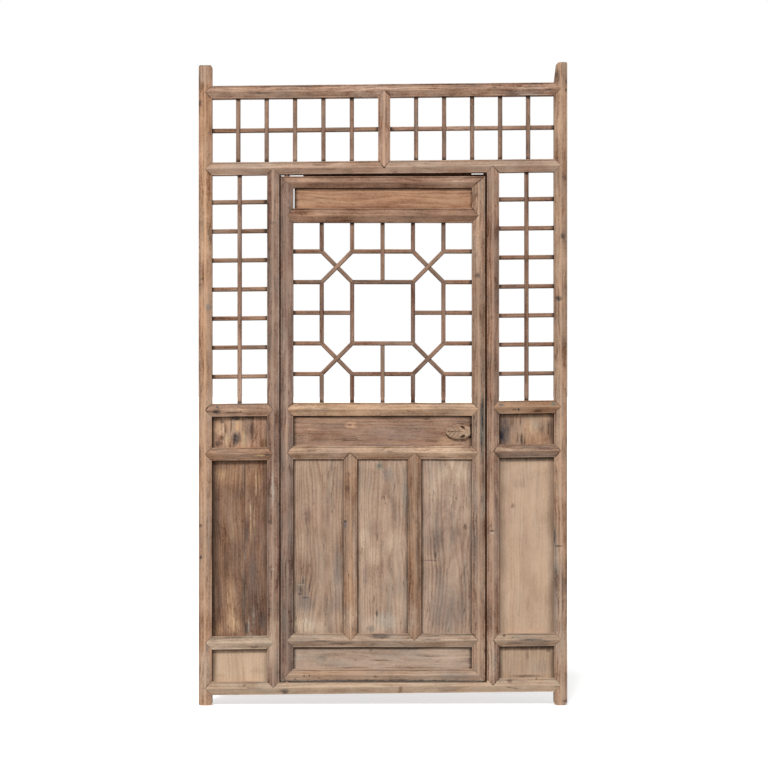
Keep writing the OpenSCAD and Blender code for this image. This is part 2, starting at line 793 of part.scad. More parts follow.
// Draught strips behind the leaf, flush with the frame's back
strip_y = leaf_y[2] + strip_gap;
head_strip_l = doorway_w - head_strip_left - closing_strip_w - strip_end_gap;
head_strip_x = left_in + head_strip_left + head_strip_l / 2;
module standing_strip(x, w) {
    z0 = threshold_z;
    z1 = low_edge(transom_z, frame_rail_w, x) - strip_end_gap;
    translate([x, strip_y, z0])
        cube([w, frame_y[2] - strip_y, z1 - z0]);
}
module hinge_strip() color(strip_wood) standing_strip(left_in, hinge_strip_t);
module closing_strip() color(strip_wood)
    standing_strip(right_in - closing_strip_w, closing_strip_w);
module head_strip() color(strip_wood)
    tilted(head_strip_x, low_edge(transom_z, frame_rail_w, head_strip_x), rack)
        layer(strip_y, frame_y[2])
            polygon([
                [-head_strip_l / 2, -head_strip_h],
                [head_strip_l / 2, -head_strip_h],
                [head_strip_l / 2, -head_slit_h],
                [head_strip_l / 2 - head_slit_l, -head_slit_h],
                [head_strip_l / 2 - head_slit_l, -joint_gap],
                [-head_strip_l / 2, -joint_gap]
            ]);

// Seats for the lattice in the leaf's members
module leaf_seats() {
    w = bar_w + 2 * fit;
    reach = bar_seat + fit;
    for (i = [1:cells - 1])
        translate([grid_x(i) - w / 2, leaf_bar_y - fit, lattice_z0 - reach])
            cube([w, bar_d + 2 * fit, lattice_h + 2 * reach]);
    for (j = [1:cells - 1])
        translate([hanging_in - reach, leaf_bar_y - fit, grid_z(j) - w / 2])
            cube([inner_w + 2 * reach, bar_d + 2 * fit, w]);
}

// Top and bottom rails, mitred to the stiles on the face and square behind
// z_out is the outer edge and z_in the inner edge
module end_rail(z_out, z_in) {
    z = (z_out + z_in) / 2;
    intersection() {
        translate([(leaf_x0 + leaf_x1) / 2, 0, z]) rail_stock(leaf_x1 - leaf_x0, end_rail_w, leaf_y);
        union() {
            layer(leaf_y[0] - leaf_d, leaf_y[1])
                polygon([[leaf_x0, z_out], [leaf_x1, z_out], [closing_in, z_in], [hanging_in, z_in]]);
            layer(leaf_y[0] - leaf_d, leaf_y[2] + leaf_d)
                translate([hanging_in, z - end_rail_w]) square([inner_w, 2 * end_rail_w]);
        }
    }
    rail_tenon(end_line(z), leaf_y, 0, 0);
}
function end_line(z) = [hanging_in, closing_in, z, end_rail_w];
end_heights = [leaf_z0 + end_rail_w / 2, leaf_z1 - end_rail_w / 2];

// Stile with mitred ends on the face, from its inner edge to its outer edge
module stile(x_in, x_out, w) {
    difference() {
        intersection() {
            upright_stock((x_in + x_out) / 2, leaf_z0, leaf_z1, w, leaf_y);
            union() {
                layer(leaf_y[0] - leaf_d, leaf_y[2] + leaf_d)
                    polygon([
                        [x_out, leaf_z0 + joint_gap],
                        [x_out, leaf_z1 - joint_gap],
                        [x_in, frieze_z1 - joint_gap],
                        [x_in, base_z0 + joint_gap]
                    ]);
                layer(leaf_y[1] + joint_gap, leaf_y[2] + leaf_d)
                    translate([min(x_in, x_out), leaf_z0]) square([w, leaf_z1 - leaf_z0]);
            }
        }
        rail_sockets(leaf_rails, leaf_y, 0);
        for (z = end_heights)
            rail_tenon(end_line(z), leaf_y, 0, fit);
        panel_grooves(leaf_panels);
        leaf_seats();
    }
}

// Round pins that carry the leaf, running into the stile, grown by g
module pins(g) {
    root = end_rail_w;
    low = threshold_z - pin_in;
    high = leaf_z1 + head_gap + pin_in;
    translate([pivot[0], pivot[1], low])
        cylinder(h = leaf_z0 + root - low, d = pin_d + 2 * g);
    translate([pivot[0], pivot[1], leaf_z1 - root])
        cylinder(h = high - leaf_z1 + root, d = pin_d + 2 * g);
}
module hanging_stile() color(stile_wood)
    union() {
        stile(hanging_in, leaf_x0, hanging_stile_w);
        pins(0);
    }
module closing_stile() color(stile_wood) stile(closing_in, leaf_x1, closing_stile_w);

// Rails of the leaf
module leaf_end_rail(z_out, z_in) {
    difference() {
        end_rail(z_out, z_in);
        panel_grooves(leaf_panels);
        pins(pin_clear);
    }
}
module leaf_top_rail() color(dark_rail_wood) leaf_end_rail(leaf_z1, frieze_z1);
module leaf_bottom_rail() color(rail_wood) leaf_end_rail(leaf_z0, base_z0);
module leaf_cross_rail(r) {
    difference() {
        rail(r, leaf_y, 0);
        upright_sockets(muntin_lines, leaf_y);
        panel_grooves(leaf_panels);
        leaf_seats();
    }
}
module leaf_upper_rail() color(dark_rail_wood) leaf_cross_rail(upper_line);
module leaf_lattice_rail() color(pale_rail_wood) leaf_cross_rail(lattice_line);
module leaf_waist_rail() color(pale_rail_wood) leaf_cross_rail(waist_line);
module leaf_lower_rail() color(rail_wood) leaf_cross_rail(lower_line);

// Muntins between the field panels
module muntin(u) {
    difference() {
        upright(u, leaf_y, 0);
        panel_grooves(leaf_panels);
    }
}
module left_muntin() color(stile_wood) muntin(muntin_lines[0]);
module right_muntin() color(stile_wood) muntin(muntin_lines[1]);

// Panels of the leaf
module frieze_panel() color(frieze_wood)
    board(frieze, hanging_in + frieze_slit, closing_in + groove_d - fit);
module waist_panel() color(panel_wood)
    difference() {
        panel(waist);
        pull_tenon(fit / 2);
        translate([closing_in - notch_w, leaf_face - notch_d, pull_z - notch_h / 2 + notch_rise])
            cube([notch_w + groove_d, 2 * notch_d, notch_h]);
    }
module left_field_panel() color(panel_wood) panel(field(0));
module middle_field_panel() color(panel_wood) panel(field(1));
module right_field_panel() color(panel_wood) panel(field(2));
module base_panel() color(panel_wood) panel(base);

// A lattice bar of the leaf from p to q, with the lengths of its four end cuts:
// start above, start below, end above, end below, as seen along the bar
module lattice_bar(p, q, cuts) {
    len = norm(q - p);
    h = bar_w / 2;
    translate([p[0], 0, p[1]])
        rotate([0, -atan2(q[1] - p[1], q[0] - p[0]), 0])
            intersection() {
                layer(leaf_bar_y, leaf_bar_y + bar_d)
                    polygon([
                        [cuts[1], -h],
                        [0, 0],
                        [cuts[0], h],
                        [len - cuts[2], h],
                        [len, 0],
                        [len - cuts[3], -h]
                    ]);
                translate([len / 2, 0, 0])
                    rotate([90, 0, 90])
                        linear_extrude(len + bar_w, center = true)
                            polygon([for (s = bar_section(leaf_bar_y)) [s[1], s[0]]]);
            }
}
function grid(i, j) = [grid_x(i), grid_z(j)];
square_end = [0, 0];
function plumb_tip(i) = [corner_tip(side_of(i), 1, mitre_plumb), corner_tip(side_of(i), -1, mitre_plumb)];
function level_tip(j) = [corner_tip(side_of(j), 1, mitre_level), corner_tip(side_of(j), -1, mitre_level)];
seat_up = [0, bar_seat];
seat_right = [bar_seat, 0];
butt_up = [0, bar_w / 2];
butt_right = [bar_w / 2, 0];

// Uprights of the leaf's lattice, each drawn from its lower end
module leaf_uprights() color(bar_wood) {
    for (i = [1, 2, 4, 5]) {
        lattice_bar(grid(i, 1), grid(i, 0) + seat_up, concat(plumb_tip(i), square_end));
        difference() {
            lattice_bar(grid(i, 4), grid(i, 2), concat(plumb_tip(i), plumb_tip(i)));
            if (i == 1 || i == cells - 1)
                lap_behind(grid_x(i), grid_z(3), leaf_bar_y, 0);
        }
        lattice_bar(grid(i, cells) - seat_up, grid(i, 5), concat(square_end, plumb_tip(i)));
    }
    difference() {
        lattice_bar(grid(3, 2) + butt_up, grid(3, 0) + seat_up, concat(square_end, square_end));
        lap_behind(grid_x(3), grid_z(1), leaf_bar_y, 0);
    }
    difference() {
        lattice_bar(grid(3, cells) - seat_up, grid(3, 4) - butt_up, concat(square_end, square_end));
        lap_behind(grid_x(3), grid_z(5), leaf_bar_y, 0);
    }
}

// Crossbars of the leaf's lattice, each drawn from its left end
module leaf_crossbars() color(bar_wood) {
    for (j = [1, 2, 4, 5]) {
        lattice_bar(grid(0, j) - seat_right, grid(1, j), concat(square_end, level_tip(j)));
        difference() {
            lattice_bar(grid(2, j), grid(4, j), concat(level_tip(j), level_tip(j)));
            if (j == 1 || j == cells - 1)
                lap_in_front(grid_x(3), grid_z(j), leaf_bar_y);
        }
        lattice_bar(grid(5, j), grid(cells, j) + seat_right, concat(level_tip(j), square_end));
    }
    difference() {
        lattice_bar(grid(0, 3) - seat_right, grid(2, 3) - butt_right, concat(square_end, square_end));
        lap_in_front(grid_x(1), grid_z(3), leaf_bar_y);
    }
    difference() {
        lattice_bar(grid(4, 3) + butt_right, grid(cells, 3) + seat_right, concat(square_end, square_end));
        lap_in_front(grid_x(5), grid_z(3), leaf_bar_y);
    }
}

// Diagonals of the four small crosses, half-lapped where they meet
crosses = [[1, 1], [4, 1], [1, 4], [4, 4]];
module diagonal_lap(c, slope, front) {
    mid = (grid(c[0], c[1]) + grid(c[0] + 1, c[1] + 1)) / 2;
    tilted(mid[0], mid[1], slope)
        translate([-bar_w, leaf_bar_y + (front ? -bar_d / 2 : bar_d / 2), -bar_w / 2 - lap_gap])
            cube([2 * bar_w, bar_d, bar_w + 2 * lap_gap]);
}
module rising_diagonals() color(bar_wood)
    for (c = crosses)
        difference() {
            lattice_bar(
                grid(c[0], c[1] + 1),
                grid(c[0] + 1, c[1]),
                [mitre_level, mitre_plumb, mitre_plumb, mitre_level]
            );
            diagonal_lap(c, -diagonal_angle, false);
        }
module falling_diagonals() color(bar_wood)
    for (c = crosses)
        difference() {
            lattice_bar(
                grid(c[0], c[1]),
                grid(c[0] + 1, c[1] + 1),
                [mitre_plumb, mitre_level, mitre_level, mitre_plumb]
            );
            diagonal_lap(c, diagonal_angle, true);
        }

// Carved pull: a lobed leaf whose tip points to the hinge side, with veins and two pierced eyes
// The tip half is slender and the root half is full
tip_fullness = 1.1;
root_fullness = 0.62;
edge_step = 6;
function leaf_edge(t) =
    let (s = sin(t), fullness = t < 90 ? tip_fullness : root_fullness)
    [
        -pull_w / 2 * cos(t),
        pull_h / 2 * pow(s, fullness) * (1 - lobe_cut * pow(cos(lobes * t), 2))
    ];
upper_edge = [for (t = [0:edge_step:180]) leaf_edge(t)];
lower_edge = [for (t = [180 - edge_step:-edge_step:edge_step]) let (p = leaf_edge(t)) [p[0], -p[1]]];
module pull_crown_solid(r) {
    translate([0, leaf_face - pull_t + pull_crown, 0])
        rotate([0, 90, 0]) cylinder(h = 2 * pull_w, r = r, center = true, $fn = 96);
}
module vein(x, lean) {
    translate([x, 0])
        rotate(lean) translate([0, -vein_w / 2]) square([pull_h / 2, vein_w]);
}
module eye(x, z, tilt) {
    r = (eye_l * eye_l / 4 + eye_w * eye_w / 4) / eye_w;
    translate([x, z])
        rotate(tilt)
            intersection() {
                translate([0, r - eye_w / 2]) circle(r);
                translate([0, eye_w / 2 - r]) circle(r);
            }
}
tenon_root = pull_t / 3;
module pull_tenon(g) {
    translate([pull_x, leaf_face - tenon_root, pull_z])
        rotate([-90, 0, 0]) cylinder(h = tenon_root + panel_t + pull_tenon_out, d = pull_tenon_d + 2 * g);
}
module carved_pull() color(pull_wood) {
    translate([pull_x, 0, pull_z])
        difference() {
            intersection() {
                layer(leaf_face - pull_t, leaf_face) polygon(concat(upper_edge, lower_edge));
                pull_crown_solid(pull_crown);
            }
            difference() {
                layer(leaf_face - 2 * pull_t, leaf_face - vein_d)
                    union() {
                        for (k = [-1:1], side = [-1, 1])
                            vein(k * vein_step - vein_step / 2, side * vein_lean);
                        translate([midrib_set - pull_w / 2, -vein_w / 2]) square([midrib_l, vein_w]);
                    }
                pull_crown_solid(pull_crown - vein_d);
            }
            layer(leaf_face - 2 * pull_t, leaf_face + pull_t)
                union() {
                    eye(eye_along, eye_off, -eye_tilt);
                    eye(eye_along, -eye_off, eye_tilt);
                }
        }
    pull_tenon(0);
}

left_post();
right_post();
head_rail();
transom_rail();
sill();
mullion();
left_jamb();
right_jamb();
left_upper_rail();
left_middle_rail();
left_lower_rail();
right_upper_rail();
right_middle_rail();
right_lower_rail();
left_transom_uprights();
left_transom_crossbar();
right_transom_uprights();
right_transom_crossbar();
left_side_upright();
left_side_crossbars();
right_side_upright();
right_side_crossbars();
left_waist_outer_board();
left_waist_inner_board();
left_tall_outer_board();
left_tall_inner_board();
left_base_panel();
right_waist_panel();
right_tall_panel();
right_base_panel();
hinge_strip();
head_strip();
closing_strip();
hanging_stile();
closing_stile();
leaf_top_rail();
leaf_upper_rail();
leaf_lattice_rail();
leaf_waist_rail();
leaf_lower_rail();
leaf_bottom_rail();
left_muntin();
right_muntin();
frieze_panel();
waist_panel();
left_field_panel();
middle_field_panel();
right_field_panel();
base_panel();
leaf_uprights();
leaf_crossbars();
rising_diagonals();
falling_diagonals();
carved_pull();
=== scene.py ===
import math

import bmesh
import bpy
from mathutils import Euler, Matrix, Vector, noise


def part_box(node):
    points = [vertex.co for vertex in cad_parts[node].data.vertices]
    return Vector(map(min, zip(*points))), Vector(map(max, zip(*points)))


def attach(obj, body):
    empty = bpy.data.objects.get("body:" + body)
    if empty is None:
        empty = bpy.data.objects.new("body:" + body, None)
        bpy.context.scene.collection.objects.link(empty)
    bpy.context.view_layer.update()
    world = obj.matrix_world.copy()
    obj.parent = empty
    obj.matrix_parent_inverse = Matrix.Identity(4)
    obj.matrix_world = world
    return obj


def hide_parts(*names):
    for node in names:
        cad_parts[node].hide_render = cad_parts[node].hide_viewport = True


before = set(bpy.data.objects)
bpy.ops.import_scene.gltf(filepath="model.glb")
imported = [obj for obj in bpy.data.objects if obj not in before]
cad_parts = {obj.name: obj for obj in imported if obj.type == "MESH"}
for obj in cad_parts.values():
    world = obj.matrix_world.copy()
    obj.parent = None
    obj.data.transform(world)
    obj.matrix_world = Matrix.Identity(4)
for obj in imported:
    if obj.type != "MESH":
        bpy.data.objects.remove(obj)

scene = bpy.context.scene
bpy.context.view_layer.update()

# POSTS
# Two long squared timbers that carry the whole frame, planed to a low ridge on the face and left bare.
# They stand on the floor, run on above the head rail as horns, and are mortised for every rail.

# The whole frame leans a little, so its rails climb to the right by this angle.
RACK = math.radians(0.6)
UPRIGHT = math.radians(90)


# Colours are written as they look on the screen, from 0 to 255.
def shade(r, g, b):
    linear = []
    for c in (r, g, b):
        c = min(max(c / 255, 0.0), 1.0)
        linear.append(c / 12.92 if c <= 0.04045 else ((c + 0.055) / 1.055) ** 2.4)
    return (*linear, 1.0)


# A small toolbox for node trees: add a node with its settings, and link or set its sockets.
def add(tree, kind, settings=(), **sockets):
    node = tree.nodes.new(kind)
    for key, value in dict(settings).items():
        setattr(node, key, value)
    for key, value in sockets.items():
        socket = node.inputs[int(key[1:])] if key[0] == "i" and key[1:].isdigit() else node.inputs[key]
        if isinstance(value, bpy.types.NodeSocket):
            tree.links.new(value, socket)
        else:
            socket.default_value = value
    return node


def calc(tree, operation, a, b=None, c=None, clamp=False):
    sockets = {"i0": a}
    if b is not None:
        sockets["i1"] = b
    if c is not None:
        sockets["i2"] = c
    settings = {"operation": operation, "use_clamp": clamp}
    return add(tree, "ShaderNodeMath", settings, **sockets).outputs[0]


def move(tree, operation, a, b):
    return add(tree, "ShaderNodeVectorMath", {"operation": operation}, i0=a, i1=b).outputs[0]


def ramp(tree, value, low, high, to_low=0.0, to_high=1.0):
    settings = {"interpolation_type": "SMOOTHSTEP"}
    sockets = {"i0": value, "i1": low, "i2": high, "i3": to_low, "i4": to_high}
    return add(tree, "ShaderNodeMapRange", settings, **sockets).outputs[0]


def blend_colour(tree, factor, a, b):
    settings = {"data_type": "RGBA", "blend_type": "MIX", "clamp_factor": True}
    node = add(tree, "ShaderNodeMix", settings)
    for socket, value in ((node.inputs[0], factor), (node.inputs[6], a), (node.inputs[7], b)):
        if isinstance(value, bpy.types.NodeSocket):
            tree.links.new(value, socket)
        else:
            socket.default_value = value
    return node.outputs[2]


def noise_at(tree, vector, stretch, detail=3.0, rough=0.55):
    stretched = move(tree, "MULTIPLY", vector, stretch)
    return add(tree, "ShaderNodeTexNoise", Vector=stretched, Scale=1.0, Detail=detail, Roughness=rough).outputs[0]


# A node group with its sockets, as (name, kind, value) for each input and (name, kind) for each output.
def group(name, inputs, outputs):
    tree = bpy.data.node_groups.new(name, "ShaderNodeTree")
    for key, kind, value in inputs:
        socket = tree.interface.new_socket(key, in_out="INPUT", socket_type="NodeSocket" + kind)
        if value is not None:
            socket.default_value = value
    for key, kind in outputs:
        tree.interface.new_socket(key, in_out="OUTPUT", socket_type="NodeSocket" + kind)
    return tree, tree.nodes.new("NodeGroupInput").outputs, tree.nodes.new("NodeGroupOutput").inputs


# Old timber: growth rings round a pith, wavering streaks, grain, flecks, stains, grey weathering and drying cracks.
# Dirt sits in the groove beside the bead. A panel's rim and ends and a bar's ends darken with dirt and painted shade,
# the lower slope with painted shade, and the crest is rubbed pale with a painted highlight.
# The grain runs along the incoming X, the face's width is Z and its depth Y. Rim is for the upper or left edge,
# and End for the right or upper end.
aged, given, result = group(
    "aged_wood",
    (
        ("Vector", "Vector", None),
        ("Seed", "Float", 0.0),
        ("Half Width", "Float", 1.0),
        ("Half Length", "Float", 9.0),
        ("Pith", "Float", 0.07),
        ("Pale", "Color", (0.5, 0.4, 0.3, 1)),
        ("Middle", "Color", (0.3, 0.2, 0.15, 1)),
        ("Dark", "Color", (0.1, 0.06, 0.04, 1)),
        ("Grey", "Color", (0.3, 0.28, 0.26, 1)),
        ("Greyness", "Float", 0.4),
        ("Contrast", "Float", 1.0),
        ("Figure", "Float", 0.2),
        ("Cracks", "Float", 0.6),
        ("Quirk", "Float", 0.0),
        ("Crest", "Float", 0.0),
        ("Under", "Float", 0.0),
        ("Rim", "Float", 0.0),
        ("Far Rim", "Float", 0.0),
        ("Rim Width", "Float", 0.01),
        ("End", "Float", 0.0),
        ("Far End", "Float", 0.0),
        ("End Width", "Float", 0.016),
    ),
    (("Color", "Color"), ("Roughness", "Float"), ("Height", "Float")),
)
# One dark for dirt, drying cracks and the veins, and also for the painted shade on rims and ends.
DIRT_AND_SHADE = (0.04, 0.024, 0.016, 1)
# How often each pattern repeats in a metre, along the grain and then across it.
SWAY = (2.2, 7.0, 7.0)
STREAKS = (2.4, 105.0, 105.0)
GRAIN = (16.0, 200.0, 200.0)
FLECKS = (110.0, 190.0, 190.0)
STAINS = (5.5, 11.0, 11.0)
BLEACHING = (6.0, 30.0, 30.0)
SPLITS = (6.0, 110.0, 110.0)
SPLIT_PATCHES = (9.0, 25.0, 25.0)
RINGS = 110.0
# How far the groove beside the bead lies from the edge, and half the width of the crest's rubbing and painted
# highlight.
QUIRK_IN = 0.0055
CREST_HALF = 0.0065
shift = add(aged, "ShaderNodeVectorMath", {"operation": "SCALE"}, i0=(3.71, 1.37, 2.13), Scale=given["Seed"])
place = move(aged, "ADD", given["Vector"], shift.outputs[0])
sway = calc(aged, "MULTIPLY_ADD", noise_at(aged, place, SWAY, 2.0), 0.05, -0.025)
place = move(aged, "ADD", place, add(aged, "ShaderNodeCombineXYZ", Z=sway).outputs[0])
turned = move(aged, "ADD", place, (7.7, 3.1, 5.9))
split = add(aged, "ShaderNodeSeparateXYZ", i0=given["Vector"]).outputs
across = calc(aged, "MULTIPLY_ADD", given["Pith"], 0.35, split[2])
depth = calc(aged, "ADD", split[1], given["Pith"])
squares = calc(aged, "MULTIPLY_ADD", across, across, calc(aged, "MULTIPLY", depth, depth))
rings = calc(aged, "ADD", calc(aged, "SQRT", squares), calc(aged, "MULTIPLY", sway, 1.2))
rings = calc(aged, "FRACT", calc(aged, "MULTIPLY", rings, RINGS))
rings = calc(aged, "MULTIPLY", ramp(aged, rings, 0.0, 0.7), ramp(aged, rings, 0.75, 1.0, 1.0, 0.0))
streaks = noise_at(aged, place, STREAKS, 4.0, 0.62)
grain = noise_at(aged, turned, GRAIN, 3.0, 0.6)
flecks = noise_at(aged, place, FLECKS, 2.0, 0.7)
stains = noise_at(aged, place, STAINS, 5.0, 0.6)
tone = 0.0
for pattern, weight in ((streaks, 1.0), (grain, 0.45), (flecks, 0.8), (stains, 1.8), (rings, given["Figure"])):
    tone = calc(aged, "MULTIPLY_ADD", calc(aged, "SUBTRACT", pattern, 0.5), weight, tone)
tone = calc(aged, "MULTIPLY_ADD", tone, given["Contrast"], 0.5)
colour = blend_colour(aged, calc(aged, "MULTIPLY", tone, 2.0, clamp=True), given["Dark"], given["Middle"])
colour = blend_colour(aged, calc(aged, "MULTIPLY_ADD", tone, 2.0, -1.0, clamp=True), colour, given["Pale"])
silver = ramp(aged, noise_at(aged, turned, BLEACHING, 4.0, 0.65), 0.42, 0.66)
colour = blend_colour(aged, calc(aged, "MULTIPLY", silver, given["Greyness"]), colour, given["Grey"])
# Painted shade: the lower slope, below the crest, is darkened towards Dark, unevenly with the stains.
under = calc(aged, "MULTIPLY", ramp(aged, split[2], -0.003, 0.001, 1.0, 0.0), given["Under"])
under = calc(aged, "MULTIPLY", under, ramp(aged, stains, 0.3, 0.6, 1.3, 0.7))
colour = blend_colour(aged, under, colour, given["Dark"])
split_noise = noise_at(aged, turned, SPLITS, 2.0, 0.5)
line = ramp(aged, calc(aged, "ABSOLUTE", calc(aged, "SUBTRACT", split_noise, 0.5)), 0.004, 0.018, 1.0, 0.0)
where = ramp(aged, noise_at(aged, turned, SPLIT_PATCHES, 1.0), 0.52, 0.62)
cracks = calc(aged, "MULTIPLY", calc(aged, "MULTIPLY", line, where), given["Cracks"])
colour = blend_colour(aged, cracks, colour, DIRT_AND_SHADE)
edge = calc(aged, "SUBTRACT", given["Half Width"], calc(aged, "ABSOLUTE", split[2]))
quirk = ramp(aged, calc(aged, "ABSOLUTE", calc(aged, "SUBTRACT", edge, QUIRK_IN)), 0.0004, 0.003, 1.0, 0.0)
quirk = calc(aged, "MULTIPLY", quirk, calc(aged, "MULTIPLY", given["Quirk"], ramp(aged, streaks, 0.35, 0.6, 0.4, 1.0)))
# A rim or an end is darkened with dirt and with painted shade, as if in the shadow of the member beside it.
rim = calc(aged, "MULTIPLY_ADD", calc(aged, "SUBTRACT", stains, 0.5), given["Rim Width"], edge)
rim = ramp(aged, rim, 0.0, given["Rim Width"], 1.0, 0.0)
rim = calc(aged, "MULTIPLY", rim, ramp(aged, split[2], -0.001, 0.001, given["Far Rim"], given["Rim"]))
ends = calc(aged, "SUBTRACT", given["Half Length"], calc(aged, "ABSOLUTE", split[0]))
ends = calc(aged, "ADD", ends, calc(aged, "MULTIPLY_ADD", streaks, 0.016, -0.008))
ends = ramp(aged, ends, 0.001, given["End Width"], 1.0, 0.0)
ends = calc(aged, "MULTIPLY", ends, ramp(aged, split[0], -0.001, 0.001, given["Far End"], given["End"]))
dirt_and_shade = calc(aged, "MAXIMUM", quirk, calc(aged, "MAXIMUM", rim, ends))
colour = blend_colour(aged, dirt_and_shade, colour, DIRT_AND_SHADE)
# The crest is lightened towards Pale, as rubbed wear and as a painted highlight.
crest = ramp(aged, calc(aged, "ABSOLUTE", split[2]), 0.001, CREST_HALF, 1.0, 0.0)
crest = calc(aged, "MULTIPLY", calc(aged, "MULTIPLY", crest, ramp(aged, streaks, 0.3, 0.6, 0.6, 1.0)), given["Crest"])
colour = blend_colour(aged, crest, colour, given["Pale"])
height = calc(aged, "MULTIPLY_ADD", flecks, 0.35, calc(aged, "MULTIPLY", grain, 0.65))
height = calc(aged, "SUBTRACT", height, cracks)
aged.links.new(colour, result["Color"])
aged.links.new(ramp(aged, grain, 0.3, 0.7, 0.85, 0.68), result["Roughness"])
aged.links.new(height, result["Height"])

# One mark on a timber, with a ragged edge: a knot, a stain, a nail hole, a bleached patch, a painted shadow or a
# painted spot of light.
# It tints the wood, so that the grain shows through. The larger the mark, the smoother its edge.
mark, given, result = group(
    "mark",
    (
        ("Vector", "Vector", None),
        ("Grain", "Vector", None),
        ("Centre", "Vector", None),
        ("Size", "Vector", None),
        ("Color", "Color", (0.3, 0.2, 0.15, 1)),
        ("Tint", "Vector", (0.5, 0.5, 0.5)),
        ("Strength", "Float", 1.0),
    ),
    (("Color", "Color"),),
)
ragged = move(mark, "DIVIDE", move(mark, "SUBTRACT", given["Vector"], given["Centre"]), given["Size"])
RAGGED = (45.0, 130.0, 130.0)
streaked = move(mark, "MULTIPLY", given["Grain"], RAGGED)
texture = add(mark, "ShaderNodeTexNoise", Vector=streaked, Scale=1.0, Detail=3.0, Roughness=0.65)
waver = move(mark, "MULTIPLY", move(mark, "SUBTRACT", texture.outputs[1], (0.5, 0.5, 0.5)), (2.2, 0.0, 2.2))
evenness = move(mark, "ADD", move(mark, "MULTIPLY", given["Size"], (40, 40, 40)), (1, 1, 1))
waver = move(mark, "DIVIDE", waver, evenness)
reach = add(mark, "ShaderNodeVectorMath", {"operation": "LENGTH"}, i0=move(mark, "ADD", ragged, waver)).outputs[1]
mask = calc(mark, "MULTIPLY", ramp(mark, reach, 0.3, 1.25, 1.0, 0.0), given["Strength"])
mask = calc(mark, "MULTIPLY", mask, ramp(mark, texture.outputs[0], 0.3, 0.6, 0.65, 1.0))
stained = move(mark, "MULTIPLY", given["Color"], given["Tint"])
mark.links.new(blend_colour(mark, mask, given["Color"], stained), result["Color"])


# Each timber is a mix of its own colour, one paler and one darker by these steps, and its own grey.
PALER = (30, 31, 29)
DARKER = (58, 58, 54)
GREYED = (1.0, 0.95, 0.88)


# One material per piece, because every timber has its own colour, place and direction of grain.
# Its marks are (x, z, half width, half height, colour, strength), in millimetres on the face.
def wood(name, rgb, origin, turn, half=1.0, seed=0.0, spread=1.0, marks=(), **amounts):
    look = bpy.data.materials.new(name)
    look.use_nodes = True
    tree = look.node_tree
    shader = tree.nodes["Principled BSDF"]
    shader.inputs["Specular IOR Level"].default_value = 0.12
    coords = add(tree, "ShaderNodeTexCoord").outputs["Object"]
    centring = -(Euler((0, turn, 0)).to_matrix() @ Vector(origin))
    settings = {"vector_type": "POINT"}
    local = add(tree, "ShaderNodeMapping", settings, Vector=coords, Rotation=(0, turn, 0), Location=centring)
    node = add(tree, "ShaderNodeGroup", {"node_tree": aged}, Vector=local.outputs[0], Seed=seed)
    node.inputs["Half Width"].default_value = half
    node.inputs["Pale"].default_value = shade(*(c + d * spread for c, d in zip(rgb, PALER)))
    node.inputs["Middle"].default_value = shade(*rgb)
    node.inputs["Dark"].default_value = shade(*(c - d * spread for c, d in zip(rgb, DARKER)))
    node.inputs["Grey"].default_value = shade(*(sum(rgb) / 3 * d for d in GREYED))
    for key, value in amounts.items():
        node.inputs[key.replace("_", " ").title()].default_value = value
    colour = node.outputs["Color"]
    for x, z, half_w, half_h, stain, strength in marks:
        spot = add(tree, "ShaderNodeGroup", {"node_tree": mark}, Vector=coords, Color=colour, Strength=strength)
        tree.links.new(local.outputs[0], spot.inputs["Grain"])
        spot.inputs["Centre"].default_value = (x / 1000, 0, z / 1000)
        spot.inputs["Size"].default_value = (half_w / 1000, 1, half_h / 1000)
        spot.inputs["Tint"].default_value = [a / b for a, b in zip(shade(*stain)[:3], shade(*rgb)[:3])]
        colour = spot.outputs["Color"]
    tree.links.new(colour, shader.inputs["Base Color"])
    tree.links.new(node.outputs["Roughness"], shader.inputs["Roughness"])
    relief = add(tree, "ShaderNodeBump", Strength=0.6, Distance=0.001, Height=node.outputs["Height"])
    tree.links.new(relief.outputs[0], shader.inputs["Normal"])
    return look


# The usual width of a rubbed arris, and what a face has lost at most.
ARRIS = 0.0012
WEAR = 0.0007
# Edges are rubbed where they are longer and sharper than this. Tips are the edges within an end zone.
LONG_EDGE = 0.03
SHARP_EDGE = 1.2
END_ZONE = 0.001
WHOLE_LENGTH = 9.0
# Points nearer than this are one.
TOUCHING = 0.00001
# How often the unevenness repeats, how much smaller the nicks are, and how much deeper.
UNEVEN_ACROSS = 30
UNEVEN_ALONG = 7
NICK_SIZE = 2.7
NICK_DEPTH = 36


